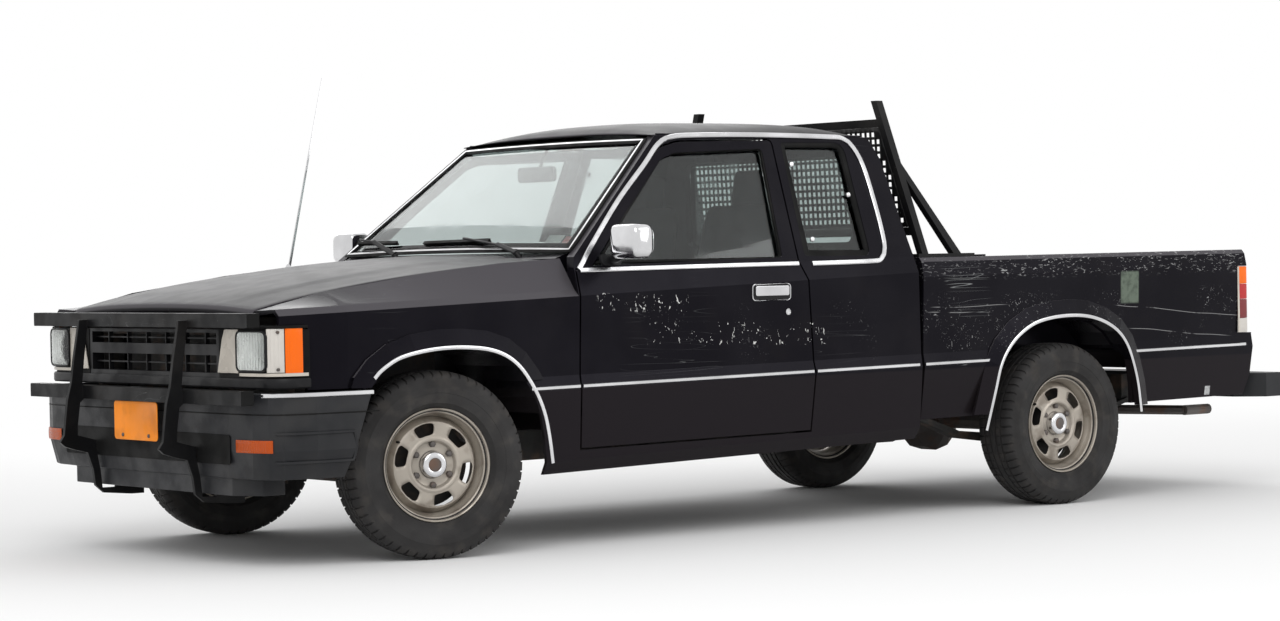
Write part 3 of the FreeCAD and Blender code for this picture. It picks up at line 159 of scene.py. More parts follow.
@dataclass(frozen=True)
class Value:
    """A value in a shader tree, with the steps that lead on from it."""

    tree: "Tree"
    socket: Socket

    def reckon(self, kind: Arithmetic, other: "Value | float" = 0.0) -> "Value":
        """Work out one step of arithmetic with another value."""
        return self.tree.node("ShaderNodeMath", {0: self, 1: other}, operation=kind.name)

    def __add__(self, other: "Value | float") -> "Value":
        """Give the sum of both."""
        return self.reckon(Arithmetic.ADD, other)

    def __sub__(self, other: "Value | float") -> "Value":
        """Give the difference of both."""
        return self.reckon(Arithmetic.SUBTRACT, other)

    def __mul__(self, other: "Value | float") -> "Value":
        """Give the product of both."""
        return self.reckon(Arithmetic.MULTIPLY, other)

    def __abs__(self) -> "Value":
        """Give the value without its sign."""
        return self.reckon(Arithmetic.ABSOLUTE)

    def step(self, low: float, high: float, floor: float = 0.0, top: float = 1.0) -> "Value":
        """Turn a range of the value into another, with soft ends.

        Args:
            low: Where the result is floor.
            high: Where the result is top.
            floor: The result at low.
            top: The result at high.

        Returns:
            The mapped value.
        """
        ends = {"From Min": low, "From Max": high, "To Min": floor, "To Max": top, "Value": self}
        return self.tree.node("ShaderNodeMapRange", ends, interpolation_type="SMOOTHSTEP")

    def fall(self, low: float, high: float) -> "Value":
        """Give 1 up to low and 0 from high on."""
        return self.step(low, high, 1.0, 0.0)

    def near(self, middle: "Value | float", half: float) -> "Value":
        """Give 1 within half of the middle and 0 beyond it."""
        return abs(self - middle).fall(half * 0.85, half)

    def span(self, length: float, rise: float, fall: float) -> "Value":
        """Give 1 from 0 to a length, with soft ends of these widths."""
        return self.step(0.0, rise) * self.fall(length - fall, length)

    def mix(self, first: "Value | Colour", second: "Value | Colour") -> "Value":
        """Mix two colours, with this value as the share of the second."""
        return self.tree.node("ShaderNodeMix", {0: self, 6: first, 7: second}, 2, data_type="RGBA")


class Tree:
    """A shader tree while it is wired up."""

    def __init__(self, owner: bpy.types.Material | bpy.types.World, output: str) -> None:
        """Empty a tree but for its output node.

        Args:
            owner: The material or world that holds the tree.
            output: The output node's type name.
        """
        owner.use_nodes = True
        self.tree = owner.node_tree
        self.tree.nodes.clear()
        self.output = self.tree.nodes.new(output)

    def feed(self, target: Socket, value: Value | float | Sequence[float]) -> None:
        """Set an input.

        Args:
            target: The input to set.
            value: What it gets; a colour of three numbers is made opaque.
        """
        if isinstance(value, Value):
            self.tree.links.new(value.socket, target)
        elif isinstance(value, (int, float)):
            target.default_value = value
        else:
            target.default_value = (*value, 1.0)[:len(target.default_value)]

    def node(self, kind: str, inputs: Mapping[int | str, Value | float | Sequence[float]], output: int | str = 0,
             **settings: str) -> Value:
        """Add a node and feed it.

        Args:
            kind: The node's type name.
            inputs: What its inputs get.
            output: The output that is handed on.
            settings: Values for its properties.

        Returns:
            That output.
        """
        node = self.tree.nodes.new(kind)
        for key, setting in settings.items():
            setattr(node, key, setting)
        for key, value in inputs.items():
            self.feed(node.inputs[key], value)
        return Value(self, node.outputs[output])

    def show(self, shader: Value) -> None:
        """Join a shader to the tree's output."""
        self.feed(self.output.inputs[0], shader)

    def seen_directly(self) -> Value:
        """Give 1 for what the camera sees, also in metal and through glass, and 0 for other rays."""
        camera, glossy, through = (self.node("ShaderNodeLightPath", {}, f"Is {kind} Ray")
                                   for kind in ("Camera", "Glossy", "Transmission"))
        return camera.reckon(Arithmetic.MAXIMUM, glossy).reckon(Arithmetic.MAXIMUM, through)


class Surface(Tree):
    """The shader tree of a material with one principled shader."""

    def __init__(self, name: str) -> None:
        """Start a material.

        Args:
            name: The material's name.
        """
        self.material = bpy.data.materials.new(name)
        super().__init__(self.material, "ShaderNodeOutputMaterial")
        self.shader = self.tree.nodes.new("ShaderNodeBsdfPrincipled")
        self.shaded = Value(self, self.shader.outputs[0])
        self.show(self.shaded)
        self.place = self.node("ShaderNodeTexCoord", {}, "Object")

    def dress(self, inputs: Mapping[str, Value | float | Sequence[float]]) -> None:
        """Feed the principled shader's inputs."""
        for key, value in inputs.items():
            self.feed(self.shader.inputs[key], value)

    def noise(self, scale: float, detail: float = 4.0, stretch: Point = (1, 1, 1), twist: float = 0.0) -> Value:
        """Make cloudy noise between about 0.3 and 0.7.

        Args:
            scale: Clouds per metre.
            detail: Octaves.
            stretch: Scale along each axis.
            twist: How far the clouds are pulled out of shape.

        Returns:
            The noise value.
        """
        place = self.node("ShaderNodeMapping", {"Vector": self.place, "Scale": stretch})
        return self.node("ShaderNodeTexNoise", {
            "Vector": place, "Scale": scale, "Detail": detail, "Distortion": twist})

    def cells(self, scale: float, output: str) -> Value:
        """Give a cell pattern's Distance to the cells' middles, or the cells' random Color."""
        return self.node("ShaderNodeTexVoronoi", {"Vector": self.place, "Scale": scale}, output)

    def at(self, axis: Axis) -> Value:
        """Give the place along one axis in metres."""
        return self.node("ShaderNodeSeparateXYZ", {0: self.place}, axis)

    def upward(self) -> Value:
        """Give how much the surface faces up, from -1 to 1."""
        normal = self.node("ShaderNodeNewGeometry", {}, "Normal")
        return self.node("ShaderNodeSeparateXYZ", {0: normal}, Axis.HEIGHT)

    def relief(self, pattern: Value, depth: float) -> None:
        """Bump the surface by a pattern from 0 to 1, which stands for a depth in metres."""
        self.dress({"Normal": self.node("ShaderNodeBump", {"Distance": depth, "Height": pattern})})


@dataclass(frozen=True)
class Finish:
    """A finish whose colour drifts, with grime, specks, uneven gloss and a fine grain."""

    name: str
    slot: str
    colour: Colour
    grime: Colour = (0.16, 0.14, 0.12)
    grime_share: float = 0.25
    grime_scale: float = 5.0
    speck: Colour = (0.45, 0.44, 0.42)
    speck_share: float = 0.0
    speck_scale: float = 45.0
    metallic: float = 0.0
    roughness: float = 0.5
    uneven: float = 0.12
    grain: float = 260.0
    depth: float = 0.0002
    gloss: float = 0.5
    tint: Colour = (1.0, 1.0, 1.0)
    flutes: float = 0.0
    flute_depth: float = 0.001

    def colours(self, surface: Surface) -> Value:
        """Wire the colour.

        Args:
            surface: The tree to wire it in.

        Returns:
            The colour.
        """
        pale = tuple(min(1.0, c * 1.25 + 0.002) for c in self.colour)
        colour = surface.noise(3.1, 5).step(0.35, 0.65).mix(self.colour, pale)
        film = surface.noise(self.grime_scale, 8).step(0.48, 0.72, 0.0, self.grime_share)
        colour = film.mix(colour, self.grime)
        if self.speck_share:
            chosen = surface.cells(self.speck_scale, "Color").step(1 - self.speck_share, 1.0)
            dot = surface.cells(self.speck_scale, "Distance").fall(0.10, 0.16)
            colour = (chosen * dot).mix(colour, self.speck)
        return colour

    def wire(self, surface: Surface) -> None:
        """Wire the colour, the uneven gloss, and the flutes or the grain.

        Args:
            surface: The tree to wire them in.
        """
        low, high = max(0.02, self.roughness - self.uneven), min(1.0, self.roughness + self.uneven)
        surface.dress({
            "Base Color": self.colours(surface), "Roughness": surface.noise(11, 6).step(0.36, 0.66, low, high),
            "Metallic": self.metallic, "Specular IOR Level": self.gloss, "Specular Tint": self.tint})
        if self.flutes:
            wave = (surface.at(Axis.ACROSS) * self.flutes).reckon(Arithmetic.SINE)
            surface.relief(wave.step(-1, 1), self.flute_depth)
        else:
            surface.relief(surface.noise(self.grain, 3), self.depth)

    def build(self) -> bpy.types.Material:
        """Make the material, once for each name.

        Returns:
            The finished material.
        """
        name = f"{self.name}_finish"
        known = bpy.data.materials.get(name)
        if known:
            return known
        surface = Surface(name)
        self.wire(surface)
        return surface.material


@dataclass(frozen=True)
class Streak:
    """A slanting line of marks: its height at its start, its ends from the front axle, its slope and half width."""

    height: float
    start: float
    end: float
    slope: float
    half: float = 0.0


@dataclass(frozen=True)
class Patch:
    """A patch of filler: its colour, and its middle and half size along the truck and in height."""

    tone: Colour
    place: float
    half: float
    height: float
    rise: float


@dataclass(frozen=True)
class AgedPaint(Finish):
    """Old body paint: chips, long hair scratches, dust on what faces up, a painted sky reflection that lightens
    sloping upward faces, and a rough lower band.
    """

    scratch: Colour = (0.30, 0.31, 0.31)
    scratch_share: float = 0.5
    dust: float = 0.05
    band: Colour | None = None
    band_top: float = 0.0
    # Painted sky reflection: the pale colour and greatest share of the lightening laid on faces that slope upward.
    faded: Colour = (0.085, 0.080, 0.088)
    fading: float = 0.8
    chips: float = 0.0
    scuff_from: float = 0.0
    flecks: Colour = (0.62, 0.62, 0.60)
    rows: tuple[Streak, ...] = ()
    scars: tuple[Streak, ...] = ()
    patches: tuple[Patch, ...] = ()

    def marks(self, surface: Surface) -> Iterator[tuple[Value, Colour]]:
        """Wire the chips, the scuffed rail, the rows of flecks, the long scars and the filled patches.

        Args:
            surface: The tree to wire them in.

        Yields:
            Each mark's share and colour.
        """
        along, height = surface.at(Axis.ALONG), surface.at(Axis.HEIGHT)
        if self.chips:
            fleck = surface.noise(85, 3, (0.8, 1.0, 0.8), 2.0).step(*FLECK_EDGE)
            cloud = surface.noise(3.4, 4).step(0.50, 0.58, 0.0, self.chips)
            yield fleck * cloud * (height.step(0.60, 0.65) * height.fall(0.82, 0.87)), self.speck
        if self.scuff_from:
            rail = height.step(self.scuff_from, self.scuff_from + 0.03)
            worn = surface.noise(95, 4, (0.4, 1.0, 1.2), 1.2).step(0.60, 0.66, 0.0, 0.8)
            yield rail * worn * surface.noise(1.6, 4).step(0.36, 0.5), self.speck
        for row in self.rows:
            ahead = along - (row.start + SHIFT)
            close = height.near(ahead * row.slope + row.height, row.half)
            stroke = surface.noise(60, 2, (1.1, 1.0, 0.7), 1.4).step(*FLECK_EDGE)
            yield close * ahead.span(row.end - row.start, 0.03, 0.04) * stroke, self.flecks
        for scar in self.scars:
            ahead = along - (scar.start + SHIFT)
            bend = (surface.noise(3.2, 1, (1, 0, 0)) - 0.5) * 0.02
            line = abs(height - (ahead * scar.slope + (bend + scar.height))).step(0.0006, 0.0018, 0.7, 0.0)
            broken = surface.noise(9, 4).step(0.36, 0.44)
            yield line * ahead.span(scar.end - scar.start, 0.05, 0.08) * broken, self.speck
        for patch in self.patches:
            square = along.near(patch.place + SHIFT, patch.half) * height.near(patch.height, patch.rise)
            mottle = surface.noise(40, 4).step(0.3, 0.6, 0.55, 1.0)
            yield square * (mottle * surface.at(Axis.ACROSS).fall(-0.79, -0.76)), patch.tone

    def colours(self, surface: Surface) -> Value:
        """Wire the colour with its scratches, dust, painted sky reflection on sloping upward faces, lower band and
        marks.

        Args:
            surface: The tree to wire it in.

        Returns:
            The colour.
        """
        colour = super().colours(surface)
        for scale, stretch, width in ((1.7, (0.2, 1.0, 6.0), 0.0012), (4.3, (0.14, 1.0, 4.5), 0.0016)):
            hair = abs(surface.noise(scale, 2, stretch, 0.6) - 0.5).fall(width * 0.4, width)
            patch = surface.noise(2.3, 3).step(0.57, 0.68, 0.0, self.scratch_share)
            colour = (hair * patch).mix(colour, self.scratch)
        up = surface.upward()
        settled = up.step(0.3, 1.0, 0.0, self.dust) * surface.noise(1.9, 7).step(0.38, 0.62)
        colour = settled.mix(colour, self.grime)
        # Painted sky reflection: faces that slope upward are lightened towards a pale grey, and near-flat tops less
        # so.
        sheen_mask = up.step(0.45, 0.62, 0.0, self.fading) * up.fall(0.86, 0.97)
        colour = sheen_mask.mix(colour, self.faded)
        if self.band:
            below = surface.at(Axis.HEIGHT).fall(self.band_top - 0.004, self.band_top + 0.004)
            colour = below.mix(colour, self.band)
        for share, tone in self.marks(surface):
            colour = share.mix(colour, tone)
        return colour


@dataclass(frozen=True)
class ClearGlass(Finish):
    """Thin glass with a faint tint and a film of dust."""

    refraction: float = 1.45

    def wire(self, surface: Surface) -> None:
        """Wire the tint, the film and the slight waves.

        Args:
            surface: The tree to wire them in.
        """
        film = surface.noise(6, 8).step(0.42, 0.75, 0.0, self.grime_share)
        surface.dress({
            "Base Color": film.mix(self.colour, self.grime), "Transmission Weight": 1.0, "IOR": self.refraction,
            "Roughness": surface.noise(9, 5).step(0.4, 0.7, 0.0, self.roughness)})
        surface.relief(surface.noise(self.grain, 2), self.depth)


BLACK_PAINT = AgedPaint(
    "black_paint", "black_paint", (0.0032, 0.0028, 0.0042), roughness=0.24, uneven=0.015, gloss=0.12,
    tint=(0.56, 0.53, 0.68), speck_share=0.03, speck=(0.33, 0.33, 0.33), grain=900, depth=0.00005, grime_share=0.012,
    band=(0.0120, 0.0098, 0.0108), band_top=0.565, scratch_share=0.2)
DOOR_PAINT = replace(BLACK_PAINT, name="chipped_paint", chips=0.25, rows=(
    Streak(0.862, 0.63, 1.07, -0.04, 0.034), Streak(0.742, 0.86, 1.73, -0.025, 0.044)))
BED_PAINT = replace(
    BLACK_PAINT, name="scuffed_paint", scuff_from=0.90, scratch_share=0.7, chips=0.8,
    scars=(Streak(0.790, 3.25, 4.05, -0.083), Streak(0.694, 3.34, 3.98, -0.08), Streak(0.801, 2.24, 2.68, 0.01),
           Streak(0.782, 2.22, 2.50, 0.0)),
    patches=(Patch((0.13, 0.16, 0.125), 3.355, 0.056, 0.859, 0.069),
             Patch((0.55, 0.56, 0.56), 3.837, 0.017, 0.42, 0.02)))
# Painted shade: a duller copy of the black paint for the hood and roof, with less gloss and a darker specular tint, so
# that the tops reflect the white surroundings less brightly.
TOP_PAINT = replace(BLACK_PAINT, name="sun_dulled_paint", roughness=0.36, gloss=0.05, tint=(0.30, 0.29, 0.37))
CHROME = Finish("aged_chrome", "chrome", (0.60, 0.60, 0.61), metallic=1.0, roughness=0.16, uneven=0.08,
                grime_share=0.12, speck_share=0.03, speck=(0.2, 0.14, 0.1), depth=0.00002)
BOWL = Finish("lamp_bowl", "chrome", (0.82, 0.83, 0.83), metallic=0.4, roughness=0.3, flutes=420)
MIRROR = Finish("mirror_face", "chrome", (0.75, 0.76, 0.77), metallic=1.0, roughness=0.05, uneven=0.03,
                depth=0.00001, grime_share=0.05)
WHEEL_SILVER = Finish("wheel_silver", "wheel_silver", (0.36, 0.325, 0.28), metallic=0.45, roughness=0.42,
                      grime_share=0.6, grime=(0.13, 0.10, 0.075), grime_scale=14)
RUBBER = Finish("tyre_rubber", "tyre_rubber", (0.022, 0.021, 0.021), roughness=0.78, grime=(0.085, 0.075, 0.065),
                grime_share=0.28, grime_scale=16, grain=420, depth=0.0004, gloss=0.3)
SEAL = Finish("rubber_seal", "black_plastic", (0.005, 0.005, 0.005), roughness=0.6, gloss=0.1, grime_share=0.03)
BUMPER_PLASTIC = Finish("bumper_plastic", "dark_plastic", (0.0105, 0.011, 0.013), grain=800, depth=0.0003,
                        grime=(0.05, 0.048, 0.045), speck_share=0.04, gloss=0.3)
TUBE_PAINT = AgedPaint("tube_paint", "chassis_black", (0.005, 0.005, 0.0055), roughness=0.42, gloss=0.15,
                       speck_share=0.12, speck_scale=80, speck=(0.40, 0.37, 0.33), grime_share=0.05, fading=0.0)
GRILLE_BLACK = Finish("grille_black", "black_plastic", (0.007, 0.007, 0.008), roughness=0.42, gloss=0.2,
                      grime_share=0.04)
BEZEL = Finish("lamp_bezel", "chrome", (0.52, 0.48, 0.42), roughness=0.35)
LENS = ClearGlass("lamp_glass", "lamp_lens", (0.9, 0.92, 0.9), roughness=0.08, grime_share=0.1, grain=90, depth=0.0006)
CORNER_LENS = Finish("corner_lens", "lamp_lens", (0.56, 0.53, 0.49), roughness=0.16, uneven=0.06, grime_share=0.2,
                     flutes=700)
AMBER = Finish("amber_lens", "lamp_lens", (0.86, 0.135, 0.0), roughness=0.2, uneven=0.06, gloss=0.25, grime_share=0.1,
               grime=(0.35, 0.1, 0.02), flutes=700)
INDICATOR = replace(AMBER, name="indicator_lens", colour=(0.42, 0.06, 0.002))
PAPER = Finish("sticker_white", "lamp_lens", (0.62, 0.64, 0.60), roughness=0.7)
RED_PAPER = Finish("sticker_red", "tail_lens", (0.55, 0.09, 0.06), roughness=0.7)
PLATE = Finish("plate_orange", "orange_plate", (0.74, 0.215, 0.003), roughness=0.45, gloss=0.3,
               grime=(0.45, 0.13, 0.01), grime_share=0.6, grime_scale=9)
RED_LENS = Finish("red_lens", "tail_lens", (0.42, 0.008, 0.010), gloss=0.4, roughness=0.12, uneven=0.05,
                  grime_share=0.1, flutes=700)
DEEP_RED = replace(RED_LENS, name="deep_red_lens", colour=(0.16, 0.006, 0.008), gloss=0.5)
GLASS = ClearGlass("window_glass", "clear_glass", (0.56, 0.62, 0.61), grime_share=0.06, roughness=0.04,
                   depth=0.00001, grain=20)
SEAT_CLOTH = Finish("seat_cloth", "seat_cloth", (0.045, 0.042, 0.045), roughness=0.92, grain=1500, depth=0.0008)
CABIN_PLASTIC = Finish("cabin_plastic", "dark_plastic", (0.028, 0.027, 0.027), roughness=0.6, grain=900, depth=0.0004)
CHASSIS_STEEL = Finish("chassis_steel", "chassis_black", (0.020, 0.019, 0.018), roughness=0.75,
                       grime=(0.12, 0.075, 0.05), grime_share=0.6, grime_scale=12, grain=300, depth=0.0006)
CAST_STEEL = Finish("cast_steel", "bare_steel", (0.10, 0.09, 0.085), metallic=0.5, roughness=0.6,
                    grime=(0.16, 0.08, 0.045), grime_share=0.6, grime_scale=15)

NODE_FINISHES = {
    BLACK_PAINT: ("cab_back", "bed_floor"),
    TUBE_PAINT: ("rack_frame",),
    GRILLE_BLACK: ("grille",),
    CHROME: ("antenna",),
    GLASS: ("rear_window", "quarter_windows", "door_glass_left", "door_glass_right"),
    SEAL: ("headlamps",),
    CABIN_PLASTIC: ("dashboard", "cab_floor"),
    CHASSIS_STEEL: ("chassis_frame", "front_suspension", "leaf_springs", "radiator_support", "fuel_tank", "engine"),
    CAST_STEEL: ("knuckle_left", "knuckle_right", "tie_rod", "rear_axle", "driveline", "exhaust"),
}
PRESSED = {
    BLACK_PAINT: ("fender_left", "fender_right", "cowl"),
    DOOR_PAINT: ("cab_side_left", "cab_side_right", "door_left", "door_right"),
    BED_PAINT: ("bedside_left", "bedside_right", "tailgate"),
    BUMPER_PLASTIC: ("rear_bumper",),
    TUBE_PAINT: ("brush_guard",),
}
MOVING_PANELS = ("door_left", "door_right", "tailgate")


def smooth_line(points: Sequence[Sequence[float]], step: float) -> list[Vector]:
    """Run a smooth curve through points.

    Args:
        points: Places the curve goes through, with two or three numbers each.
        step: The greatest distance between two points of the result.

    Returns:
        Points along the curve.
    """
    places = [Vector((*p, 0.0)[:3]) for p in points]
    result = []
    for i, (a, b) in enumerate(zip(places, places[1:])):
        before = places[i - 1] if i else a * 2 - b
        after = places[i + 2] if i + 2 < len(places) else b * 2 - a
        steps = max(1, math.ceil((b - a).length / step))
        for k in range(steps):
            t = k / steps
            result.append(0.5 * ((2 * a) + (b - before) * t + (2 * before - 5 * a + 4 * b - after) * t * t
                                 + (3 * a - before - 3 * b + after) * t ** 3))
    return result + places[-1:]


def round_front(plan: Sequence[Flat], z: float, step: float) -> list[Vector]:
    """Give a smooth line round the truck's front at a height, from the right half of its plan."""
    return smooth_line([spot(x, -y, z) for x, y in plan] + [spot(x, y, z) for x, y in reversed(plan)], step)


def section(width: float, height: float) -> list[Flat]:
    """Give a strip's section with softened top edges, in metres."""
    return [(a * width / 2, b * height) for a, b in BOX_SECTION]


def rounded(low: Flat, high: Flat, radius: float) -> list[Flat]:
    """Give a rectangle's outline with rounded corners.

    Args:
        low: Its lower corner.
        high: Its upper corner.
        radius: The corners' radius.

    Returns:
        Points round it.
    """
    corners = ((high[0] - radius, high[1] - radius, 0), (low[0] + radius, high[1] - radius, 90),
               (low[0] + radius, low[1] + radius, 180), (high[0] - radius, low[1] + radius, 270))
    angles = [math.radians(90 * i / CORNER_STEPS) for i in range(CORNER_STEPS + 1)]
    return [(x + radius * math.cos(math.radians(start) + a), y + radius * math.sin(math.radians(start) + a))
            for x, y, start in corners for a in angles]


def inset(block: Block, step: float) -> list[Flat]:
    """Give a rounded rectangle's outline, drawn in on all sides by a step."""
    (left, low), (right, high), radius = block
    return rounded((left + step, low + step), (right - step, high - step), max(3.0, radius - step))


@dataclass(frozen=True)
class Edges:
    """How a piece's edges are made: widths in metres, least angles that are sharp or rounded in degrees."""

    bevel: float = 0.0
    segments: int = 2
    smooth: float = 35.0
    thickness: float = 0.0
    corner: float = 0.0


def clean(mesh: bpy.types.Mesh, weld: float, flat: float = 0.0) -> None:
    """Join points that lie close, merge faces in one plane and turn all faces outward.

    Args:
        mesh: The mesh to clean.
        weld: Points nearer than this are joined.
        flat: Faces that meet at less than this angle, in degrees, are merged.
    """
    work = bmesh.new()
    work.from_mesh(mesh)
    bmesh.ops.remove_doubles(work, verts=work.verts, dist=weld)
    if flat:
        bmesh.ops.dissolve_limit(work, angle_limit=math.radians(flat), verts=work.verts, edges=work.edges)
    bmesh.ops.recalc_face_normals(work, faces=work.faces)
    work.to_mesh(mesh)
    work.free()


def finish_piece(name: str, mesh: bpy.types.Mesh, finish: Finish, body: str, edges: Edges) -> bpy.types.Object:
    """Turn a mesh into a dressed piece on its body.

    Args:
        name: The piece's name.
        mesh: Its mesh, in the frame's metres.
        finish: Its finish.
        body: The body that it rides on.
        edges: How its edges are made.

    Returns:
        The finished object.
    """
    mesh.shade_smooth()
    mesh.set_sharp_from_angle(angle=math.radians(edges.smooth))
    mesh.materials.clear()
    mesh.materials.append(finish.build())
    piece = bpy.data.objects.new(name, mesh)
    bpy.context.collection.objects.link(piece)
    if edges.thickness:
        wall = piece.modifiers.new("wall", "SOLIDIFY")
        wall.thickness = edges.thickness
        wall.offset = -1
    if edges.bevel:
        rounding = piece.modifiers.new("rounding", "BEVEL")
        rounding.width = edges.bevel
        rounding.segments = edges.segments
        rounding.limit_method = "ANGLE"
        rounding.angle_limit = math.radians(edges.corner or edges.smooth)
        rounding.harden_normals = True
    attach(piece, body)
    return piece


@dataclass
class MeshWork:
    """A mesh that is gathered from simple forms and then becomes one piece."""

    name: str
    finish: Finish
    body: str = "root"
    points: list[Vector] = field(default_factory=list)
    faces: list[Sequence[int]] = field(default_factory=list)

    def skin(self, rows: Sequence[Sequence[Vector]], around: bool = False, along: bool = False,
             ends: bool = False, holes: Callable[[int, int], bool] | None = None) -> "MeshWork":
        """Join rows of points with faces.

        Args:
            rows: Rows of the same number of points.
            around: Whether each row closes on itself.
            along: Whether the last row joins the first.
            ends: Whether the first and last rows get a face of their own.
            holes: Says which cells, by row and column, are left open.

        Returns:
            The mesh itself.
        """
        start, count = len(self.points), len(rows[0])
        for row in rows:
            self.points.extend(Vector(p) for p in row)
        for i in range(len(rows) if along else len(rows) - 1):
            for j in range(count if around else count - 1):
                if holes and holes(i, j):
                    continue
                low, high = start + i * count, start + (i + 1) % len(rows) * count
                self.faces.append((low + j, low + (j + 1) % count, high + (j + 1) % count, high + j))
        if ends:
            for first in (start, start + (len(rows) - 1) * count):
                self.faces.append(tuple(range(first, first + count)))
        return self

    def turn(self, profile: Sequence[Flat], sides: int, matrix: Matrix = Matrix(), closed: bool = False) -> "MeshWork":
        """Turn a profile about the Y axis.

        Args:
            profile: Pairs of radius and place along Y, in metres.
            sides: Steps round the axis.
            matrix: Where the turned form goes.
            closed: Whether the profile's last point joins its first.

        Returns:
            The mesh itself.
        """
        rows = [[matrix @ polar(radius, angle, y) for radius, y in profile] for angle in turns(sides)]
        return self.skin(rows, around=closed, along=True)

    def strip(self, path: Sequence[Vector], outward: Callable[[Vector], Vector] | Vector, section: Sequence[Flat],
              closed: bool = False) -> "MeshWork":
        """Draw a section along a path.

        Args:
            path: Points of the path.
            outward: The direction in which the section's second value points.
            section: Pairs of distance across the path and distance outward.
            closed: Whether the path returns to its start.

        Returns:
            The mesh itself.
        """
        rows = []
        count = len(path)
        for i, place in enumerate(path):
            back = path[i - 1] if closed or i else place
            ahead = path[(i + 1) % count] if closed or i + 1 < count else place
            along = (ahead - back).normalized()
            out = outward(place) if callable(outward) else outward
            across = along.cross(out).normalized()
            out = across.cross(along).normalized()
            rows.append([place + across * a + out * b for a, b in section])
        return self.skin(rows, around=True, along=closed, ends=not closed)

    def solid(self, rows: Sequence[Sequence[Vector]]) -> "MeshWork":
        """Join closed rows of points with faces and close both ends."""
        return self.skin(rows, around=True, ends=True)

    def tube(self, path: Sequence[Vector], radius: float, sides: int = 8, closed: bool = False) -> "MeshWork":
        """Draw a round bar along a path.

        Args:
            path: Points of the path.
            radius: The bar's radius in metres.
            sides: Steps round it.
            closed: Whether the path returns to its start.

        Returns:
            The mesh itself.
        """
        ring = [(radius * math.cos(angle), radius * math.sin(angle)) for angle in turns(sides)]
        steep = abs((path[1] - path[0]).normalized().z) >= 0.8
        return self.strip(path, Vector((1, 0, 0) if steep else (0, 0, 1)), ring, closed)

    def slab(self, outline: Sequence[Vector], shift: Vector) -> "MeshWork":
        """Give an outline a thickness, from its own face to another that lies off by the shift."""
        return self.solid([outline, [Vector(p) + shift for p in outline]])

    def build(self, edges: Edges = Edges()) -> bpy.types.Object:
        """Make the piece.

        Args:
            edges: How its edges are made.

        Returns:
            The finished object.
        """
        mesh = bpy.data.meshes.new(self.name)
        mesh.from_pydata([tuple(p) for p in self.points], [], [tuple(f) for f in self.faces])
        clean(mesh, 1e-5)
        return finish_piece(self.name, mesh, self.finish, self.body, edges)


def line_at(line: Flat, x: float) -> float:
    """Give the height of one of the body side's long lines, in millimetres."""
    return line[0] + line[1] * x


def side_half(x: float, z: float) -> float:
    """Give the cab side's half width.

    Args:
        x: Place along the truck, in millimetres from the front axle.
        z: Height above the ground in millimetres.

    Returns:
        The half width in millimetres.
    """
    trim = line_at(TRIM, x)
    table = ((line_at(SILL, x), 770.0), (line_at(SILL, x) + 45, 800.0), (trim, 812.0), (trim + 50, 803.0),
             (line_at(SHOULDER, x), 812.0), (line_at(BELT, x), BELT_HALF), (EAVE, EAVE_HALF))
    for (low, half), (high, next_half) in zip(table, table[1:]):
        if z <= high:
            return half + (next_half - half) * max(0.0, (z - low) / (high - low))
    return table[-1][1]


def on_side(outline: Sequence[Flat], side: Side, out: float = 0.0) -> list[Vector]:
    """Lay an outline on the body's side, moved out by some millimetres."""
    return [spot(x, side * (side_half(x, z) + out), z) for x, z in outline]


class PlainNodes:
    """The nodes that stay as they are and only get their finishes."""

    def build(self) -> None:
        """Give every such node its finish."""
        for finish, names in NODE_FINISHES.items():
            for name in names:
                for slot in frame["nodes"][name].material_slots:
                    slot.link = "OBJECT"
                    slot.material = finish.build()


@dataclass
class PressedPanel:
    """One node's form with its edges rounded as pressed or moulded parts have them."""

    node: str
    finish: Finish
    edges: Edges = Edges(bevel=0.002, smooth=5.0, corner=24.0)

    def build(self) -> None:
        """Make the rounded form and let it stand for the node."""
        mesh = frame["nodes"][self.node].data.copy()
        clean(mesh, 2e-5, 0.6)
        body = self.node if self.node in MOVING_PANELS else "root"
        piece = finish_piece(f"{self.node}_form", mesh, self.finish, body, self.edges)
        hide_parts(self.node)


class PressedPanels:
    """The body's pressed panels, the guard and the rear bumper."""

    def build(self) -> None:
        """Round the edges of all of them."""
        for finish, names in PRESSED.items():
            for name in names:
                PressedPanel(name, finish).build()


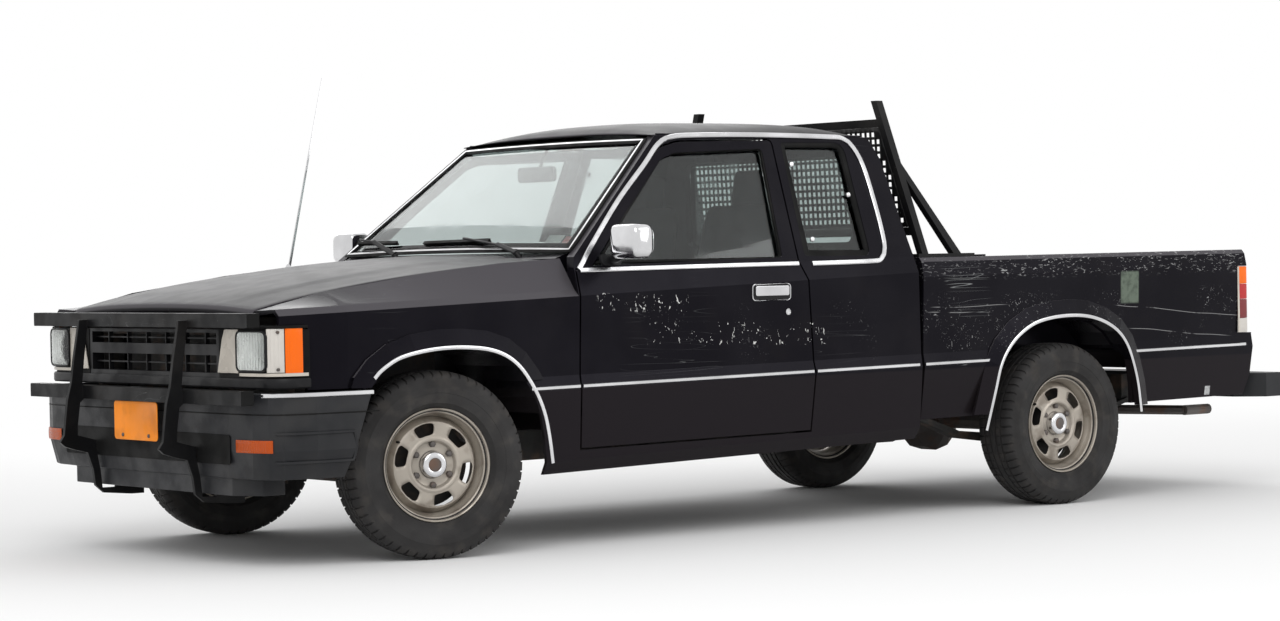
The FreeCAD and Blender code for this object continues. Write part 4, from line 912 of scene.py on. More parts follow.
@dataclass
class SheetTop:
    """The hood and the roof as smoothly bowed sheets."""

    hood_line: Outline = ((-664, 838), (-650, 862), (-620, 873), (-480, 904), (-280, 938), (-91, 964), (100, 985),
                          (250, 998), (400, 1008), (505, 1013))
    roof_line: Outline = ((1062, 1476), (1130, 1506), (1300, 1527), (1700, 1533), (1960, 1528), (2060, 1512),
                          (2124, 1482))
    hood_start: float = -670.0
    hood_length: float = 1175.0
    hood_half: float = 623.0
    hood_spread: float = 70.0
    hood_crown: float = 20.0
    edge: Outline = ((0.0, -16.0), (0.0, -5.0), (-1.5, -1.2))
    edge_width: float = 5.0
    crease: float = 430.0
    swell: float = 5.0
    columns: int = 23
    roof_columns: int = 26
    gutter: tuple[Point, ...] = tuple((x, 592, 1466) for x in (1090, 1300, 1600, 1900, 2090))

    def add_hood(self) -> None:
        """Make the hood with its turned-down edges and two long creases."""
        rows = []
        for x, z, _ in smooth_line(self.hood_line, 24):
            half = self.hood_half + self.hood_spread * (x - self.hood_start) / self.hood_length
            edge = [(half + out, z + rise) for out, rise in self.edge]
            row = [spot(x, -y, level) for y, level in edge]
            for i in range(-self.columns, self.columns + 1):
                share = i / self.columns
                y = (half - self.edge_width) * share
                crown = self.hood_crown * (1 - (y / 700) ** 2)
                swell = self.swell / (1 + math.exp((abs(y) - self.crease) / 9)) * min(1, max(0, (x + 655) / 160))
                row.append(spot(x, y, z + crown * (1 - abs(share) ** 8) + swell))
            rows.append(row + [spot(x, y, level) for y, level in reversed(edge)])
        hood = MeshWork("hood_sheet", TOP_PAINT, "hood").skin(rows).build(Edges(thickness=0.004, smooth=50))
        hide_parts("hood")

    def add_roof(self) -> None:
        """Make the roof with its gutters."""
        rows, count = [], self.roof_columns
        for x, top, _ in smooth_line(self.roof_line, 30):
            rows.append([spot(x, EAVE_HALF * i / count,
                              EAVE + 0.5 + (top - EAVE) * (1 - (abs(i) / count) ** 2.8) ** 0.85)
                         for i in range(-count, count + 1)])
        roof = MeshWork("roof_sheet", TOP_PAINT).skin(rows).build(Edges(thickness=0.003, smooth=50))
        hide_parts("roof_panel")
        for side in Side:
            line = [spot(x, side * y, z) for x, y, z in self.gutter]
            MeshWork(f"gutter_{side.hand}", BLACK_PAINT).tube(line, 0.005).build()

    def build(self) -> None:
        """Make both."""
        self.add_hood()
        self.add_roof()


@dataclass
class RoadWheel:
    """One wheel with its tyre, brake disc, cap and nuts, all modelled upright with the outside towards -Y."""

    name: str
    side: Side
    turned: float = 0.0
    tyre_radius: float = 0.322
    crown: tuple[tuple[Tread, Outline], ...] = (
        (Tread.PLAIN, ((0.0, 0.0), (0.011, 0.0))), (Tread.GROOVE, ((0.0125, 0.0), (0.018, 0.0))),
        (Tread.RIB, ((0.0195, 0.0), (0.038, 0.0))), (Tread.GROOVE, ((0.0395, 0.0004), (0.046, 0.0006))),
        (Tread.BLOCK, ((0.0475, 0.0006), (0.066, 0.002), (0.078, 0.0075), (0.086, 0.014))))
    wall: Outline = (
        (0.0905, 0.300), (0.0925, 0.290), (0.0965, 0.283), (0.0985, 0.271), (0.0997, 0.2695), (0.1, 0.258),
        (0.0992, 0.2475), (0.0978, 0.246), (0.0958, 0.229), (0.092, 0.218), (0.0915, 0.2135), (0.086, 0.208),
        (0.079, 0.203), (0.0757, 0.1985), (0.0735, 0.1962), (0.0695, 0.196), (0.0672, 0.183))
    blocks: int = 58
    block_steps: tuple[float, ...] = (0.0, 0.13, 0.18, 0.95)
    slant: float = 0.28
    inside: Outline = (
        (0.0470, -0.029), (0.052, -0.028), (0.076, -0.028), (0.0785, -0.030), (0.0815, -0.0435), (0.084, -0.0470),
        (0.088, -0.0492), (0.092, -0.0490), (0.0955, -0.0462), (0.0985, -0.0455))
    windows: int = 6
    window_rows: tuple[float, ...] = (0.1015, 0.1025, 0.105, 0.110, 0.120, 0.131, 0.137, 0.1405, 0.1425, 0.1435)
    window_y: float = -0.0455
    window_half: float = 0.027
    window_spread: float = 0.014
    window_rim: float = 0.0025
    outside: Outline = ((0.1465, -0.0425), (0.1505, -0.0365), (0.1555, -0.0265), (0.161, -0.016), (0.166, -0.0115))
    rim: Outline = (
        (0.1945, -0.0755), (0.1925, -0.0762), (0.1900, -0.0745), (0.1885, -0.069), (0.1875, -0.062), (0.1800, -0.058),
        (0.1785, -0.050), (0.177, -0.040), (0.170, -0.030), (0.1665, -0.012), (0.161, 0.004), (0.160, 0.016),
        (0.168, 0.032), (0.177, 0.045), (0.179, 0.058), (0.1875, 0.064), (0.1895, 0.0735), (0.1945, 0.0755))
    cap: Outline = ((0.0462, -0.029), (0.0458, -0.047), (0.0445, -0.054), (0.0405, -0.0585), (0.033, -0.0602),
                    (0.0245, -0.0598), (0.0225, -0.0575), (0.0222, -0.0555))
    cap_middle: Outline = ((0.0222, -0.0550), (0.0222, -0.0572), (0.018, -0.0585), (0.0004, -0.0588))
    nuts: int = 6
    nut_circle: float = 0.06985
    nut: Outline = ((0.0135, -0.0265), (0.0130, -0.0290), (0.0115, -0.0295), (0.0115, -0.041), (0.0085, -0.0440),
                    (0.004, -0.0455))
    valve: tuple[Point, ...] = tuple((-0.128, y, 0.082) for y in (-0.032, -0.041, -0.052))
    brake: Outline = ((0.0186, -0.0145), (0.0775, -0.0145), (0.080, -0.010), (0.080, 0.0235), (0.1475, 0.025),
                      (0.148, 0.026), (0.148, 0.033), (0.1475, 0.034), (0.0186, 0.042))
    at: Matrix = field(init=False)

    def __post_init__(self) -> None:
        """Find the wheel's place in the frame."""
        low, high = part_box(f"tyre_{self.name}")
        self.at = facing((Vector(low) + Vector(high)) / 2, self.turned + self.side.turn)

    def work(self, part: str, finish: Finish) -> MeshWork:
        """Start a piece of this wheel."""
        return MeshWork(f"{part}_{self.name}", finish, f"wheel_{self.name}")

    def add_tyre(self) -> None:
        """Make the tyre: ribs and blocks in the tread, rings on the walls."""
        half = [(y, self.tyre_radius - drop, kind) for kind, line in self.crown for y, drop in line]
        half += [(y, radius, Tread.PLAIN) for y, radius in self.wall]
        across = [(-y, radius, kind) for y, radius, kind in reversed(half[1:])] + half
        rows = []
        for block in range(self.blocks):
            for step, share in enumerate(self.block_steps):
                angle = 2 * math.pi * (block + share) / self.blocks
                row = []
                for y, radius, kind in across:
                    slanted = kind in (Tread.RIB, Tread.BLOCK)
                    lean = self.slant * (abs(y) - 0.03) * math.copysign(1, y) if slanted else 0.0
                    row.append(self.at @ polar(radius - kind.value[step], angle + lean, y))
                rows.append(row)
        tyre = self.work("tyre_tread", RUBBER).skin(rows, around=True, along=True).build(Edges(smooth=32))
        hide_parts(f"tyre_{self.name}")

    def disc_row(self, radius: float, y: float, opening: float = 0.2) -> list[Vector]:
        """Give one ring of the wheel's face, with its columns drawn to the windows' sides.

        Args:
            radius: The ring's radius.
            y: Its place across the wheel.
            opening: Half the angle of a window at this radius.

        Returns:
            Points round the ring.
        """
        pitch = 2 * math.pi / self.windows
        angles = []
        for sector in range(self.windows):
            middle = pitch * sector + 3 * pitch / 4
            angles += [middle + opening * t for t in (-1, -0.5, 0, 0.5)]
            angles += [middle + opening + (pitch - 2 * opening) * t for t in (0.0, 0.25, 0.5, 0.75)]
        return [polar(radius, angle, y) for angle in angles]

    def add_face(self) -> None:
        """Make the wheel's pressed face with its windows and the rim it is welded in."""
        rows = [self.disc_row(radius, y) for radius, y in self.inside]
        low, high = self.window_rows[0], self.window_rows[-1]
        for radius in self.window_rows:
            rise = (radius - low) / (high - low)
            share = min(1.0, abs(2 * rise - 1))
            half = (self.window_half + self.window_spread * rise) * (1 - share ** 7) ** 0.35
            y = self.window_y + self.window_rim * share ** 2 * (rise > 0.5)
            rows.append(self.disc_row(radius, y, max(0.012, half / radius)))
        rows += [self.disc_row(radius, y) for radius, y in self.outside]
        open_rows = range(len(self.inside), len(self.inside) + len(self.window_rows) - 1)
        face = self.work("wheel_disc", WHEEL_SILVER)
        face.skin(rows, around=True, holes=lambda i, j: i in open_rows and j % 8 < 4)
        face.turn(self.rim, 96)
        face.points = [self.at @ p for p in face.points]
        disc = face.build(Edges(thickness=0.0032, smooth=40))
        disc.modifiers["wall"].offset = 0
        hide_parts(f"wheel_{self.name}")

    def add_fittings(self) -> None:
        """Make the cap, the nuts, the valve and the brake disc behind the windows."""
        at = self.at
        self.work("hub_cap", CHROME).turn(self.cap, 48, at).build(Edges(smooth=50))
        self.work("hub_cap_middle", CAST_STEEL).turn(self.cap_middle, 32, at).build(Edges(smooth=50))
        nuts = self.work("wheel_nuts", CAST_STEEL)
        for i in range(self.nuts):
            centre = polar(self.nut_circle, 2 * math.pi * (i + 0.5) / self.nuts)
            nuts.solid([[at @ (centre + polar(radius, angle, y)) for angle in turns(6)] for radius, y in self.nut])
        nuts.build(Edges(0.0007))
        self.work("valve", SEAL).tube([at @ Vector(place) for place in self.valve], 0.0042).build()
        self.work("brake", CHASSIS_STEEL).turn(self.brake, 48, at, closed=True).build()

    def build(self) -> None:
        """Make the whole wheel."""
        self.add_tyre()
        self.add_face()
        self.add_fittings()


@dataclass
class WheelSet:
    """All four wheels, the front ones turned by the same degrees."""

    front_turn: float = -12.5

    def build(self) -> None:
        """Make the wheels."""
        for end, turned in (("front", self.front_turn), ("rear", 0.0)):
            for side in Side:
                RoadWheel(f"{end}_{side.hand}", side, turned).build()


@dataclass
class BodyTrim:
    """The bright strips on the body's sides and round its windows, and the door handles."""

    surround: Outline = (
        (575, 976), (600, 1000), (664, 1066), (829, 1221), (988, 1350), (1079, 1427), (1154, 1456), (1296, 1464),
        (1582, 1467), (1904, 1463), (1994, 1457), (2034, 1423), (2058, 1349), (2061, 1220), (2056, 1107), (2044, 1034),
        (2011, 993), (1949, 985), (1660, 981))
    door_belt: Outline = ((580, 974), (900, 977), (1250, 980), (1594, 982))
    strips: tuple[tuple[str, float, float], ...] = (
        ("fender", 345, 556), ("door", 569, 1645), ("cab", 1662, 2182), ("bed_front", 2214, 2588),
        ("bed_rear", 3348, 4048))
    width: float = 0.013
    rise: float = 0.006
    dish: Block = ((1356, 852), (1534, 907), 12)
    rim: Block = ((1354, 850), (1536, 909), 13)
    flap: Block = ((1364, 866), (1526, 903), 7)
    lock_place: Flat = (1526, 805)
    lock: Outline = ((0.0125, 0.001), (0.0120, -0.0035), (0.0095, -0.0050), (0.0085, -0.0035), (0.0003, -0.0033))

    def add_strips(self, side: Side) -> None:
        """Put the strips on one side.

        Args:
            side: The side they are for.
        """
        hand, door = side.hand, f"door_{side.hand}"
        loop = on_side([place[:2] for place in smooth_line(self.surround, 30)], side, 1.0)
        MeshWork(f"window_surround_{hand}", CHROME).strip(loop, side.window_out, section(0.019, 0.008)).build()
        belt = on_side(self.door_belt, side, 1.0)
        MeshWork(f"belt_strip_{hand}", CHROME, door).strip(belt, side.window_out, section(0.017, 0.007)).build()
        for name, start, end in self.strips:
            places = [start + (end - start) * i / 6 for i in range(7)]
            line = on_side([(x, line_at(TRIM, x) + 10) for x in places], side, -0.5)
            MeshWork(f"side_strip_{name}_{hand}", CHROME, door if name == "door" else "root").strip(
                line, side.out, section(self.width, self.rise)).build()

    def add_handle(self, side: Side) -> None:
        """Put the pull handle in its dish, and the lock, on one door.

        Args:
            side: The side they are for.
        """
        hand, door = side.hand, f"door_{side.hand}"
        dish = on_side(rounded(*self.dish), side, 0.6)
        MeshWork(f"handle_dish_{hand}", GRILLE_BLACK, door).slab(dish, side.out * 0.003).build(Edges(0.001))
        rim = on_side(rounded(*self.rim), side, 2.0)
        MeshWork(f"handle_rim_{hand}", CHROME, door).tube(rim, 0.0024, closed=True).build()
        flap = on_side(rounded(*self.flap), side, 4.0)
        MeshWork(f"handle_flap_{hand}", CHROME, door).slab(flap, side.out * 0.006).build(Edges(0.0025, 3))
        at = facing(on_side([self.lock_place], side)[0], side.turn)
        MeshWork(f"door_lock_{hand}", CHROME, door).turn(self.lock, 24, at).build()

    def build(self) -> None:
        """Put the trim on both sides."""
        for side in Side:
            self.add_strips(side)
            self.add_handle(side)


@dataclass
class ArchLips:
    """The bright mouldings along the wheel arches."""

    front: Outline = (
        (-316, 628), (-286, 655), (-222, 690), (-145, 709), (-50, 720), (50, 721), (150, 711), (225, 687), (282, 648),
        (326, 595), (362, 536), (388, 471), (405, 391), (416, 306))
    rear: Outline = (
        (2514, 318), (2530, 365), (2566, 470), (2598, 565), (2640, 630), (2702, 685), (2785, 727), (2885, 748),
        (3000, 754), (3100, 746), (3190, 721), (3262, 682), (3312, 628), (3346, 555), (3372, 465), (3388, 353))
    reach: float = 832.0

    def build(self) -> None:
        """Put one moulding on each arch."""
        for side in Side:
            for end, points in (("front", self.front), ("rear", self.rear)):
                path = [spot(x, side * self.reach, z) for x, z, _ in smooth_line(points, 20)]
                MeshWork(f"arch_lip_{end}_{side.hand}", CHROME).strip(path, side.out, section(0.013, 0.0025)).build()


@dataclass(frozen=True)
class CornerWall:
    """A lens or ledge that follows the body's corner, from its line seen from above to half the truck's width."""

    name: str
    finish: Finish
    plan: Outline
    low: float
    high: float
    out: float
    bow: float = 0.0

    def build(self, side: Side) -> None:
        """Make it on one side.

        Args:
            side: The side it is for.
        """
        line = smooth_line(self.plan, 12)
        last = len(line) - 1
        rows = []
        for i, place in enumerate(line):
            along = (line[min(i + 1, last)] - line[max(i - 1, 0)]).normalized()
            normal = Vector((-along.y, along.x, 0))
            edge = min(1.0, min(i, last - i) * 0.5 + 0.3)
            row = []
            for share, push in ((0, 0), (0, 0.75), (0.04, 1.0), (0.25, 1.0), (0.5, 1.0), (0.75, 1.0), (0.96, 1.0),
                                (1, 0.75), (1, 0)):
                bulge = self.bow * (1 - (2 * share - 1) ** 2) * edge
                shift = normal * ((self.out * push + bulge) * edge)
                row.append(spot(place.x + shift.x, side * (place.y + shift.y),
                                self.low + (self.high - self.low) * share))
            rows.append(row)
        MeshWork(f"{self.name}_{side.hand}", self.finish).skin(rows, ends=True).build(Edges(smooth=45))


@dataclass
class FrontLamps:
    """Headlamps in their surrounds, corner lamps and the bright edges round them."""

    plan: Outline = ((-689, 588), (-689, 640), (-686, 680), (-681, 710), (-674, 738), (-664, 756), (-648, 772),
                     (-630, 785), (-600, 793), (-553, 799))
    ring: Block = ((586, 664), (747, 795), 20)
    front: float = -690.0
    lean: float = 13.0
    lean_from: float = 600.0
    lean_width: float = 145.0
    bowl_depth: float = 4.5
    lens_depth: float = 6.0
    cover: Outline = ((452, 655), (586, 655), (586, 801), (500, 801), (484, 768))
    screws: tuple[Point, ...] = ((-651, 773, 669), (-651, 773, 792))
    screw: Outline = ((0.0055, 0.0), (0.0052, -0.0095), (0.0035, -0.0110), (0.0003, -0.0112))
    sill: Outline = ((-548, 800), (-632, 786), (-672, 742), (-688, 660), (-690, 400))

    def walls(self) -> tuple[CornerWall, ...]:
        """Give the lenses and ledges that follow the corner."""
        lens = ((-680, 746), (-664, 759), (-648, 772), (-634, 782))
        amber = ((-632, 784), (-616, 790), (-594, 795), (-573, 798))
        return (CornerWall("lamp_back", SEAL, self.plan[:6], 655, 801, 2.0),
                CornerWall("corner_lens", CORNER_LENS, lens, 659, 803, 5.0, 2.0),
                CornerWall("corner_amber", AMBER, amber, 657, 804, 4.0, 2.0),
                CornerWall("lamp_ledge", BEZEL, self.plan, 646, 657, 6.0))

    def face(self, side: Side, share: float, out: float) -> list[Vector]:
        """Give the lamp's outline ahead of its leaning front.

        Args:
            side: The side it is for.
            share: The outline's size as a share of the whole.
            out: How far ahead, in millimetres.

        Returns:
            Points round it.
        """
        (left, low), (right, high), _ = self.ring
        middle, level = (left + right) / 2, (low + high) / 2
        places = []
        for y, z in rounded(*self.ring):
            y, z = middle + (y - middle) * share, level + (z - level) * share
            back = self.lean * max(0.0, (y - self.lean_from) / self.lean_width) ** 1.6
            places.append(spot(self.front + back - out, side * y, z))
        return places

    def add_headlamp(self, side: Side) -> None:
        """Make one rounded-square headlamp with its bowl, lens and dark surround.

        Args:
            side: The side it is for.
        """
        hand = side.hand
        MeshWork(f"lamp_surround_{hand}", GRILLE_BLACK).strip(
            self.face(side, 1.0, 1.5), Vector((-1, 0, 0)), section(0.006, 0.011), closed=True).build(Edges(smooth=50))
        shares = (1.0, 0.93, 0.8, 0.62, 0.42, 0.2, 0.001)
        bowl = [self.face(side, share * 0.95, 9.5 - self.bowl_depth * (1 - share ** 2)) for share in shares]
        lens = [self.face(side, share * 0.955, 10.5 + self.lens_depth * (1 - share ** 2.2)) for share in shares]
        MeshWork(f"lamp_bowl_{hand}", BOWL).skin(bowl, around=True).build(Edges(smooth=60))
        MeshWork(f"lamp_lens_{hand}", LENS).solid(lens).build(Edges(smooth=20))

    def add_side(self, side: Side) -> None:
        """Make one side's lamps and trim.

        Args:
            side: The side they are for.
        """
        hand = side.hand
        for wall in self.walls():
            wall.build(side)
        self.add_headlamp(side)
        cover = [spot(self.front, side * y, z) for y, z in self.cover]
        MeshWork(f"lamp_cover_{hand}", BEZEL).slab(cover, Vector((-0.005, 0, 0))).build(Edges(0.003, 3))
        for i, (x, y, z) in enumerate(self.screws):
            at = facing(spot(x, side * y, z), -40 * side - 90)
            MeshWork(f"lens_screw_{hand}_{i}", CAST_STEEL).turn(self.screw, 12, at).build()
        rim = [spot(x - 3, side * (y + 2), 809) for x, y in ((self.front, 588), *self.plan[2:])]
        MeshWork(f"lamp_trim_{hand}", SEAL).strip(rim, Vector((-0.6, side * 0.8, 0)), section(0.010, 0.005)).build()

    def build(self) -> None:
        """Make both sides, and the sill under the lamps."""
        for side in Side:
            self.add_side(side)
        MeshWork("lamp_sill", GRILLE_BLACK).strip(
            round_front(self.sill, 622, 0.03), lambda place: Vector((-0.75, place.y, 0)).normalized(),
            section(0.034, 0.008)).build()


@dataclass
class FrontBumper:
    """The dark moulded bumper with its groove, bright strips and indicators, the guard's caps and the plate."""

    plan: Outline = ((-300, 833), (-430, 831), (-540, 828), (-610, 818), (-655, 803), (-690, 765), (-712, 700),
                     (-721, 600), (-722.5, 480))
    strip_plan: Outline = ((-700, 742), (-690, 765), (-655, 803), (-610, 818), (-540, 828), (-430, 831), (-322, 832))
    ridge_plan: Outline = ((-674, 783), (-655, 803), (-610, 818), (-540, 828), (-430, 831), (-400, 831))
    lamp_plan: Outline = ((-723, 612), (-715, 690), (-706, 722), (-694, 758), (-682, 778))
    tuck: Flat = (14.0, 24.0)
    tuck_from: float = 400.0
    tuck_height: float = 95.0
    corner: float = -600.0
    caps: tuple[Point, ...] = ((-754, 748, 808), (-777, 741, 553))
    panel: Block = ((-575, 352), (575, 452), 12)
    plate: Block = ((-167, 418), (135, 552.7), 14)
    plate_steps: Outline = ((0, -765.5), (0, -766.6), (1.2, -767.6), (4.5, -767.8), (7, -767.0), (9, -766.6))
    bolt: Outline = ((0.0075, 0.0), (0.0073, -0.002), (0.0045, -0.0045), (0.0003, -0.0048))

    @staticmethod
    def ahead(place: Vector) -> Vector:
        """Give the direction outward from the bumper's middle."""
        return Vector((-1, 0, 0)) if abs(place.y) < 0.6 else Vector((-0.55, math.copysign(0.83, place.y), 0))

    def run(self, plan: Sequence[Flat], side: Side, z: float) -> list[Vector]:
        """Give a line along the bumper's side, drawn in towards its foot.

        Args:
            plan: The line seen from above.
            side: The side it is for.
            z: Its height in millimetres.

        Returns:
            Points along it.
        """
        lean = max(0.0, (self.tuck_from - z) / self.tuck_height)
        back, inward = self.tuck
        return smooth_line([spot(x + back * lean * (x < self.corner), side * (y - inward * lean), z)
                            for x, y in plan], 0.03)

    def add_side(self, side: Side) -> None:
        """Put the indicator, the bright strip, the pocket's ridge and the guard's caps on one side.

        Args:
            side: The side they are for.
        """
        CornerWall("indicator", INDICATOR, self.lamp_plan, 395, 437, 3.5, 1.5).build(side)
        out = Vector((-0.35, side * 0.94, 0))
        MeshWork(f"bumper_strip_{side.hand}", CHROME).strip(
            self.run(self.strip_plan, side, 584), out, section(0.013, 0.004)).build()
        upper, lower = self.run(self.ridge_plan, side, 458), self.run(self.ridge_plan, side, 362)
        corner = [lower[-1].lerp(upper[-1], i / 4) + Vector((0.012 * math.sin(math.pi * i / 4), 0, 0))
                  for i in range(1, 4)]
        MeshWork(f"bumper_ridge_{side.hand}", BUMPER_PLASTIC).strip(
            lower + corner + upper[::-1], out, section(0.010, 0.005)).build()
        for x, y, z in self.caps:
            cap = [spot(x + a, side * y, z + b) for a, b in rounded((1, 1), (47, 47), 4)]
            MeshWork(f"guard_cap_{side.hand}_{z}", SEAL).slab(cap, side.out * 0.003).build(Edges(0.001))

    def add_plate(self) -> None:
        """Make the blank plate with its pressed rim and two bolts."""
        rows = [[spot(x, y, z) for y, z in inset(self.plate, step)] for step, x in self.plate_steps]
        plate = MeshWork("number_plate", PLATE).solid(rows).build(Edges(smooth=50))
        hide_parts("front_plate")
        for i, y in enumerate((-106, 74)):
            at = facing(spot(-766.6, y, 435), -90)
            MeshWork(f"plate_bolt_{i}", CAST_STEEL).turn(self.bolt, 6, at).build(Edges(0.0005))

    def build(self) -> None:
        """Make the bumper, its trim, the guard's caps and the plate."""
        PressedPanel("front_bumper", BUMPER_PLASTIC, Edges(0.007, 4, 5.0, corner=28)).build()
        MeshWork("bumper_groove", SEAL).strip(
            round_front(self.plan, 521, 0.035), self.ahead, section(0.004, 0.0012)).build()
        for side in Side:
            self.add_side(side)
        panel = [spot(-722, y, z) for y, z in rounded(*self.panel)]
        MeshWork("bumper_panel", SEAL).slab(panel, Vector((-0.003, 0, 0))).build(Edges(0.0012))
        self.add_plate()


@dataclass
class Glazing:
    """The bowed windscreen, the seals, the dark borders and what is stuck or hung on the glass."""

    bow: float = 12.0
    low: Flat = (590, 1046)
    high: Flat = (1052, 1443)
    belt: float = 973.0
    pillar: float = 40.5
    columns: int = 16
    levels: int = 14
    door: Outline = (
        (660, 999), (700, 1022), (852, 1170), (1070, 1366), (1092, 1384), (1150, 1397), (1400, 1407), (1566, 1414),
        (1574, 1404), (1526, 1016), (1514, 1002))
    quarter: Outline = (
        (1650, 1012), (1662, 1010), (1960, 1007), (1968, 1014), (1986, 1410), (1968, 1434), (1930, 1441), (1690, 1440),
        (1678, 1430))
    quarter_screws: Outline = ((1705, 1072), (1707, 1357), (1949, 1240))
    screw: Outline = ((0.0105, 0.0), (0.0100, -0.0055), (0.007, -0.0080), (0.0003, -0.0083))
    rear: Block = ((-497, 1050), (497, 1395), 40)
    blade: Outline = ((-0.003, -0.016), (-0.0045, -0.008), (-0.007, -0.002), (0.007, -0.002), (0.0045, -0.008),
                      (0.003, -0.016))
    wipers: tuple[tuple[str, tuple[Point, ...]], ...] = (
        ("near", ((572, -445, 1022), (566, -430, 1040), (580, -292, 1072), (594, -60, 1098), (602, -210, 1094),
                  (598, 212, 1090))),
        ("far", ((572, 345, 1022), (566, 360, 1042), (584, 529, 1094), (592, 640, 1104), (602, 400, 1094),
                 (598, 668, 1096))))

    def screen(self, u: float, v: float, out: float = 0.0) -> Vector:
        """Give a place on the windscreen.

        Args:
            u: Across it, -1 to 1.
            v: Up it, 0 to 1.
            out: How far outward, in millimetres.

        Returns:
            The place.
        """
        x, z = (low + (high - low) * v for low, high in zip(self.low, self.high))
        half = BELT_HALF - self.pillar + (EAVE_HALF - BELT_HALF) * (z - self.belt) / (EAVE - self.belt)
        lift = self.bow * (1 - u * u) * (1 - 0.4 * v) + out
        return spot(x + SCREEN_OUT.x * lift, half * u, z + SCREEN_OUT.z * lift)

    def add_windscreen(self) -> None:
        """Make the windscreen with its seal, its bright surround and two stickers."""
        across = [i / self.columns for i in range(-self.columns, self.columns + 1)]
        up = [i / self.levels for i in range(self.levels + 1)]
        rows = [[self.screen(u, v) for u in across] for v in up]
        glass = MeshWork("windscreen_glass", GLASS).skin(rows).build(Edges(thickness=0.005, smooth=60))
        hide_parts("windscreen")
        edge = rows[0] + [row[-1] for row in rows[1:-1]] + rows[-1][::-1] + [row[0] for row in rows[-2:0:-1]]
        MeshWork("windscreen_seal", SEAL).strip(edge, SCREEN_OUT, section(0.034, 0.004), closed=True).build()
        MeshWork("windscreen_surround", CHROME).strip(
            [place + SCREEN_OUT * 0.004 for place in edge], SCREEN_OUT, section(0.009, 0.003), closed=True).build()
        for name, finish, left, right, low, high in (("white", PAPER, -0.87, -0.74, 0.05, 0.14),
                                                      ("red", RED_PAPER, -0.93, -0.885, 0.05, 0.13)):
            sheet = [[self.screen(u, v, -7.5) for u in (left, (left + right) / 2, right)] for v in (low, high)]
            MeshWork(f"sticker_{name}", finish).skin(sheet).build(Edges(thickness=0.0004))

    def add_side(self, side: Side) -> None:
        """Lay the dark borders along one side's windows, and screw the quarter window down.

        Args:
            side: The side they are for.
        """
        hand = side.hand
        for name, body, outline, width in (("door_seal", f"door_{hand}", self.door, 0.012),
                                           ("quarter_border", "root", self.quarter, 0.042)):
            MeshWork(f"{name}_{hand}", SEAL, body).strip(
                on_side(outline, side, -13.0), side.window_out, section(width, 0.010), closed=True).build()
        for i, place in enumerate(on_side(self.quarter_screws, side, -10.0)):
            MeshWork(f"quarter_screw_{hand}_{i}", CHROME).turn(self.screw, 20, facing(place, side.turn)).build()

    def add_inner_mirror(self) -> None:
        """Hang the mirror inside the windscreen."""
        rows = [[spot(x, y, z) for y, z in rounded((-95 + step, 1306 + step), (135 - step, 1364 - step), 16)]
                for x, step in ((985, 6), (990, 0), (1004, 0), (1009, 5))]
        MeshWork("inner_mirror", CABIN_PLASTIC).solid(rows).build(Edges(smooth=50))
        arm = [spot(1006, 20, 1345), spot(1030, 20, 1400), spot(1060, 20, 1440)]
        MeshWork("inner_mirror_arm", CABIN_PLASTIC).tube(arm, 0.007).build()

    def add_wipers(self) -> None:
        """Make both wipers with their arms, links and blades."""
        arm_out = Vector((-0.6, 0, 0.8))
        for name, places in self.wipers:
            foot, low, knee, tip, start, end = (spot(*place) for place in places)
            arm = MeshWork(f"wiper_arm_{name}", GRILLE_BLACK)
            arm.tube([foot, low], 0.011, 12)
            arm.strip([low, knee], arm_out, section(0.019, 0.008))
            arm.strip([knee, tip], arm_out, section(0.009, 0.005))
            piece = arm.build(Edges(0.001))
            if name == "near":
                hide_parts("wipers")
            line = [start.lerp(end, i / 8) for i in range(9)]
            MeshWork(f"wiper_blade_{name}", SEAL).strip(line, SCREEN_OUT, self.blade).build()

    def build(self) -> None:
        """Make everything that belongs to the windows."""
        self.add_windscreen()
        for side in Side:
            self.add_side(side)
        window = [spot(2136 - (z - 1050) * 0.09, y, z) for y, z in rounded(*self.rear)]
        MeshWork("rear_seal", SEAL).strip(window, Vector((1, 0, 0.1)), section(0.02, 0.006), closed=True).build()
        self.add_inner_mirror()
        self.add_wipers()


